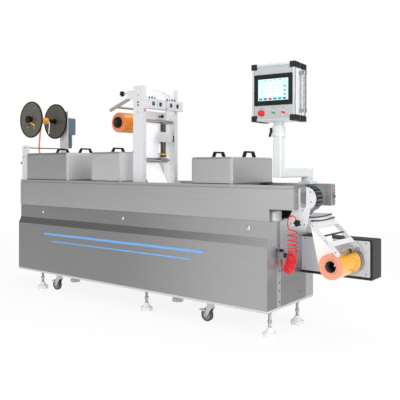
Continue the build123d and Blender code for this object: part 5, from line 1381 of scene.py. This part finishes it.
@dataclass
class UnwinderDetail:
    """The arms' screws and dark rods, and the drive box's screws and stepped flange."""

    top: tuple = (222.0, 786.0)
    end: tuple = (437.0, 576.0)
    arm_front: float = 118.0
    screw_shares: tuple = (0.14, 0.2, 0.62, 0.68, 0.94)
    rod_shares: tuple = (0.02, 0.12)
    rod_lift: tuple = (16.8, 17.04)
    rod: tuple = (124.0, 446.0)
    drive_front: float = 480.0

    def along(self, share: float) -> tuple[float, float]:
        """A point on the arms' line."""
        return tuple(a + (b - a) * share for a, b in zip(self.top, self.end))

    def build(self, builder: Builder) -> None:
        """Builds the unwinder's small pieces."""
        places = [(x, self.arm_front, z) for x, z in map(self.along, self.screw_shares)]
        shapes = screws(places, Y, -1, 3.6, 2.2)
        y = np.linspace(*self.rod, 16)
        sag = 10 * np.sin(np.pi * (y - self.rod[0]) / (self.rod[1] - self.rod[0]))
        for x, z in map(self.along, self.rod_shares):
            middle = np.column_stack([x + self.rod_lift[0] - sag * 0.3, y, z + self.rod_lift[1] - sag])
            shapes.append(tube(middle, 5, 10, (1, 0, 0.1)))
            for end in (self.rod[0] - 4, self.rod[1] + 4):
                path = [(x + out, end, z + out) for out in (8, 17, 18)]
                shapes.append(tube(path, 5, 10, (0, 1, 0.1)))
        builder.piece("unwinder_rods", shapes, [Finishes.tube], "machine")
        corners = ((24, 610), (478, 610), (478, 402), (24, 402), (250, 402))
        shapes = screws([(x, self.drive_front, z) for x, z in corners], Y, -1, 5, 3)
        ring = [(92, 0), (92, -6), (89, -8), (79, -8), (79, -13), (76, -15), (69, -15), (69, -20),
                (66, -22), (60, -22), (60, -4)]
        x, z = BOTTOM_ROLL_AXIS
        shapes.append(turned(ring, (x, self.drive_front, z), Y, 48, 1))
        angles = np.arange(0.4, 6.2, math.pi / 3)
        shapes += screws(around(BOTTOM_ROLL_AXIS, 84, self.drive_front - 8, angles), Y, -1, 3.6)
        builder.piece("drive_box_screws", shapes, [Finishes.screw, Finishes.roller], "machine")


# The CAD nodes' finishes


def reach(x: np.ndarray, z: np.ndarray, axis: tuple) -> np.ndarray:
    """How far points are from an axis along Y."""
    return np.hypot(x - axis[0], z - axis[1])


@dataclass
class Dresser:
    """Chooses the finish of every CAD node."""

    rib_step: float = 0.1678
    rib_reach: float = 82.0
    hub_radius: float = 30.0

    def highlit_ribs(self, x: np.ndarray, z: np.ndarray) -> np.ndarray:
        """Whether points are on the chain band's lighter ribs, a painted highlight, which are every other one
        round the nose.
        """
        turn = np.pi / 2 - np.arctan2(z - NOSE_AXIS[1], x - NOSE_AXIS[0])
        return (reach(x, z, NOSE_AXIS) > self.rib_reach) & (np.round(turn / self.rib_step) % 2 == 0)

    @staticmethod
    def plain() -> tuple:
        """Each finish that covers whole nodes, with the nodes' names."""
        f = Finishes
        handles = " ".join(f"{station}_guard_handles" for station in STATIONS)
        return (
            (f.cabinet, "rear_cover"),
            (f.beam, "side_beams"),
            (f.covers, "upper_covers"),
            (f.deck, "deck_plate"),
            (f.nylon, "foot_pads"),
            (f.stem, "foot_stems"),
            (f.head, "station_heads"),
            (f.white_paint, "valve_block end_bracket"),
            (f.tube, "tube_post"),
            (f.chain, "drive_chain"),
            (f.orange_roll, "top_film_roll"),
            (f.black, "top_roll_spindle star_knobs clamp_lever console_corners " + handles),
            (f.film_web, "top_film_web bottom_film_web"),
            (f.console_arm, "console_base console_arm console_neck"),
            (f.profile, "console_frame"),
            (f.bezel, "operator_terminal"),
            (f.brass, "hose_fitting"),
            (f.fork, " ".join(f"caster_fork_{corner}" for corner in CORNERS)),
        )

    def split(self) -> tuple:
        """Each node that has more than one finish: its name, the finishes and how a face gets its own.

        Returns:
            Rows of name, finishes and a function of the faces' x, y, z and normals.
        """
        f = Finishes
        return (
            # Painted light: the rear post's inner channel faces get the glowing white.
            ("gantry_frame", (f.white_paint, f.cream_paint, f.white_paint_painted_glow), lambda x, y, z, n:
                ((np.abs(z - 1551) < 36) & (np.abs(x + 1301) < 5))
                + 2 * ((np.abs(x + 1253.5) < 50.5) & (y > 475) & (y < 518) & ((n[1] < -0.9) | (n[0] > 0.9)))),
            ("winder_spool", (f.black, f.yellow), lambda x, y, z, n: (y > 235.5) & (y < 421.5)),
            ("winder_discs", (f.smoked, f.black), lambda x, y, z, n: reach(x, z, WINDER_AXIS) > 171),
            ("gearmotors", (f.motor, f.black), lambda x, y, z, n: x > 0),
            ("unwind_drive", (f.drive_side, f.drive_front), lambda x, y, z, n: (n[1] < -0.9) & (y < 483)),
            # Painted light: the cutting and sealing hoods' right sides get the paler copy of the steel.
            # Painted shade: the hoods' rounded right edges get the dimmer copy of the steel.
            ("cutting_guard", (f.guard, f.guard_edge_painted_shade, f.guard_side_painted_light), self.edge_and_side),
            # Painted light: the sealing hood's front and top get the lighter copy of the guard steel.
            ("sealing_guard", (f.guard_painted_light, f.guard_edge_painted_shade, f.guard_side_painted_light), self.edge_and_side),
            ("forming_guard", (f.guard, f.guard_edge_painted_shade), lambda x, y, z, n: (n[0] > 0.1) & (n[0] < 0.9)),
            # Painted light: the cabinet frame's upright faces below 176.5 mm get the paler copy of the steel.
            ("cabinet_frame", (f.cabinet, f.guard_side_painted_light), lambda x, y, z, n:
                (z < 176.5) & (np.abs(n[2]) < 0.5)),
            # The front cover's right-facing return and the right end panel get the end sheet, whose colour
            # carries painted shade, darker towards the bottom.
            ("front_cover", (f.cabinet, f.end_sheet), lambda x, y, z, n: n[0] > 0.9),
            ("end_panels", (f.end_sheet, f.deck), lambda x, y, z, n: x < -1000),
            ("guide_arm", (f.arm_grey, f.white_paint), lambda x, y, z, n:
                (x > -1362) | ((z > 1690) & (x > -1390))),
            # Painted highlight: every other rib round the nose gets the lighter rib grey.
            ("chain_band", (f.band, f.chain, f.band_rib_highlight), lambda x, y, z, n:
                np.where(z < 873, 1, 2 * self.highlit_ribs(x, z))),
            ("air_regulator", (f.hub, f.red_hose, f.black), lambda x, y, z, n: (z < 504.5) + 2 * (z > 554.5)),
            ("bottom_film_roll", (f.amber_roll, f.core), lambda x, y, z, n:
                (reach(x, z, BOTTOM_ROLL_AXIS) < 40) & (np.abs(n[1]) < 0.5)),
            ("winder_column", (f.white_paint, f.tube), lambda x, y, z, n:
                (np.minimum(*(reach(x, z, axis) for axis in ROD_AXES)) < 7) & (y > 95) & (y < 555)),
            ("bottom_roll_chuck", (f.head, f.black), lambda x, y, z, n: y < 300),
            ("console_housing", (f.console_side, f.console_face), lambda x, y, z, n: n[1] < -0.9),
            ("push_buttons", (f.red, f.green), lambda x, y, z, n: (x > 0) & (x < 50)),
            ("unwinder_arms", (f.white_paint, f.tube), lambda x, y, z, n:
                (reach(x, z, TIE_ROD_AXIS) < 7) & (y > 125) & (y < 445)),
            ("guide_rollers", (f.roller, f.black), lambda x, y, z, n:
                (reach(x, z, PRESS_AXIS) > 14.5) & (x > 410) & (np.abs(y - 285) < 23)),
        )

    @staticmethod
    def edge_and_side(x: np.ndarray, y: np.ndarray, z: np.ndarray, n: np.ndarray) -> np.ndarray:
        """0 for a hood's front and top, 1 for its rounded right edge, which gets a dimmer copy of the steel
        as painted shade, and 2 for its right side, which gets a paler copy as painted light.
        """
        return 1 * (n[0] > 0.1) + (n[0] > 0.9)

    def build(self, builder: Builder) -> None:
        """Dresses every node."""
        for finish, nodes in self.plain():
            for node in nodes.split():
                builder.dress(node, finish)
        for corner in CORNERS:
            wheel = f"caster_wheel_{corner}"
            middle = np.mean(machine_box(wheel), axis=0)
            builder.dress(wheel, Finishes.rubber, Finishes.hub,
                          choose=lambda x, y, z, n: reach(x, z, middle[[0, 2]]) < self.hub_radius)
        for node, finishes, choose in self.split():
            builder.dress(node, *finishes, choose=choose)


def main() -> None:
    """Builds the studio and the machine in order."""
    logging.basicConfig(level=logging.INFO, format="%(name)s: %(message)s")
    builder = Builder()
    Studio().build()
    AirHose().build()
    Dresser().build(builder)
    for detail in (ConsoleDetail, GuardDetail, WinderDetail, GantryDetail, RollDetail, EndDetail,
                   CabinetDetail, RunningGear, UnwinderDetail):
        detail().build(builder)
    LOG.info("%d pieces made", builder.made)


if __name__ == "__main__":
    main()
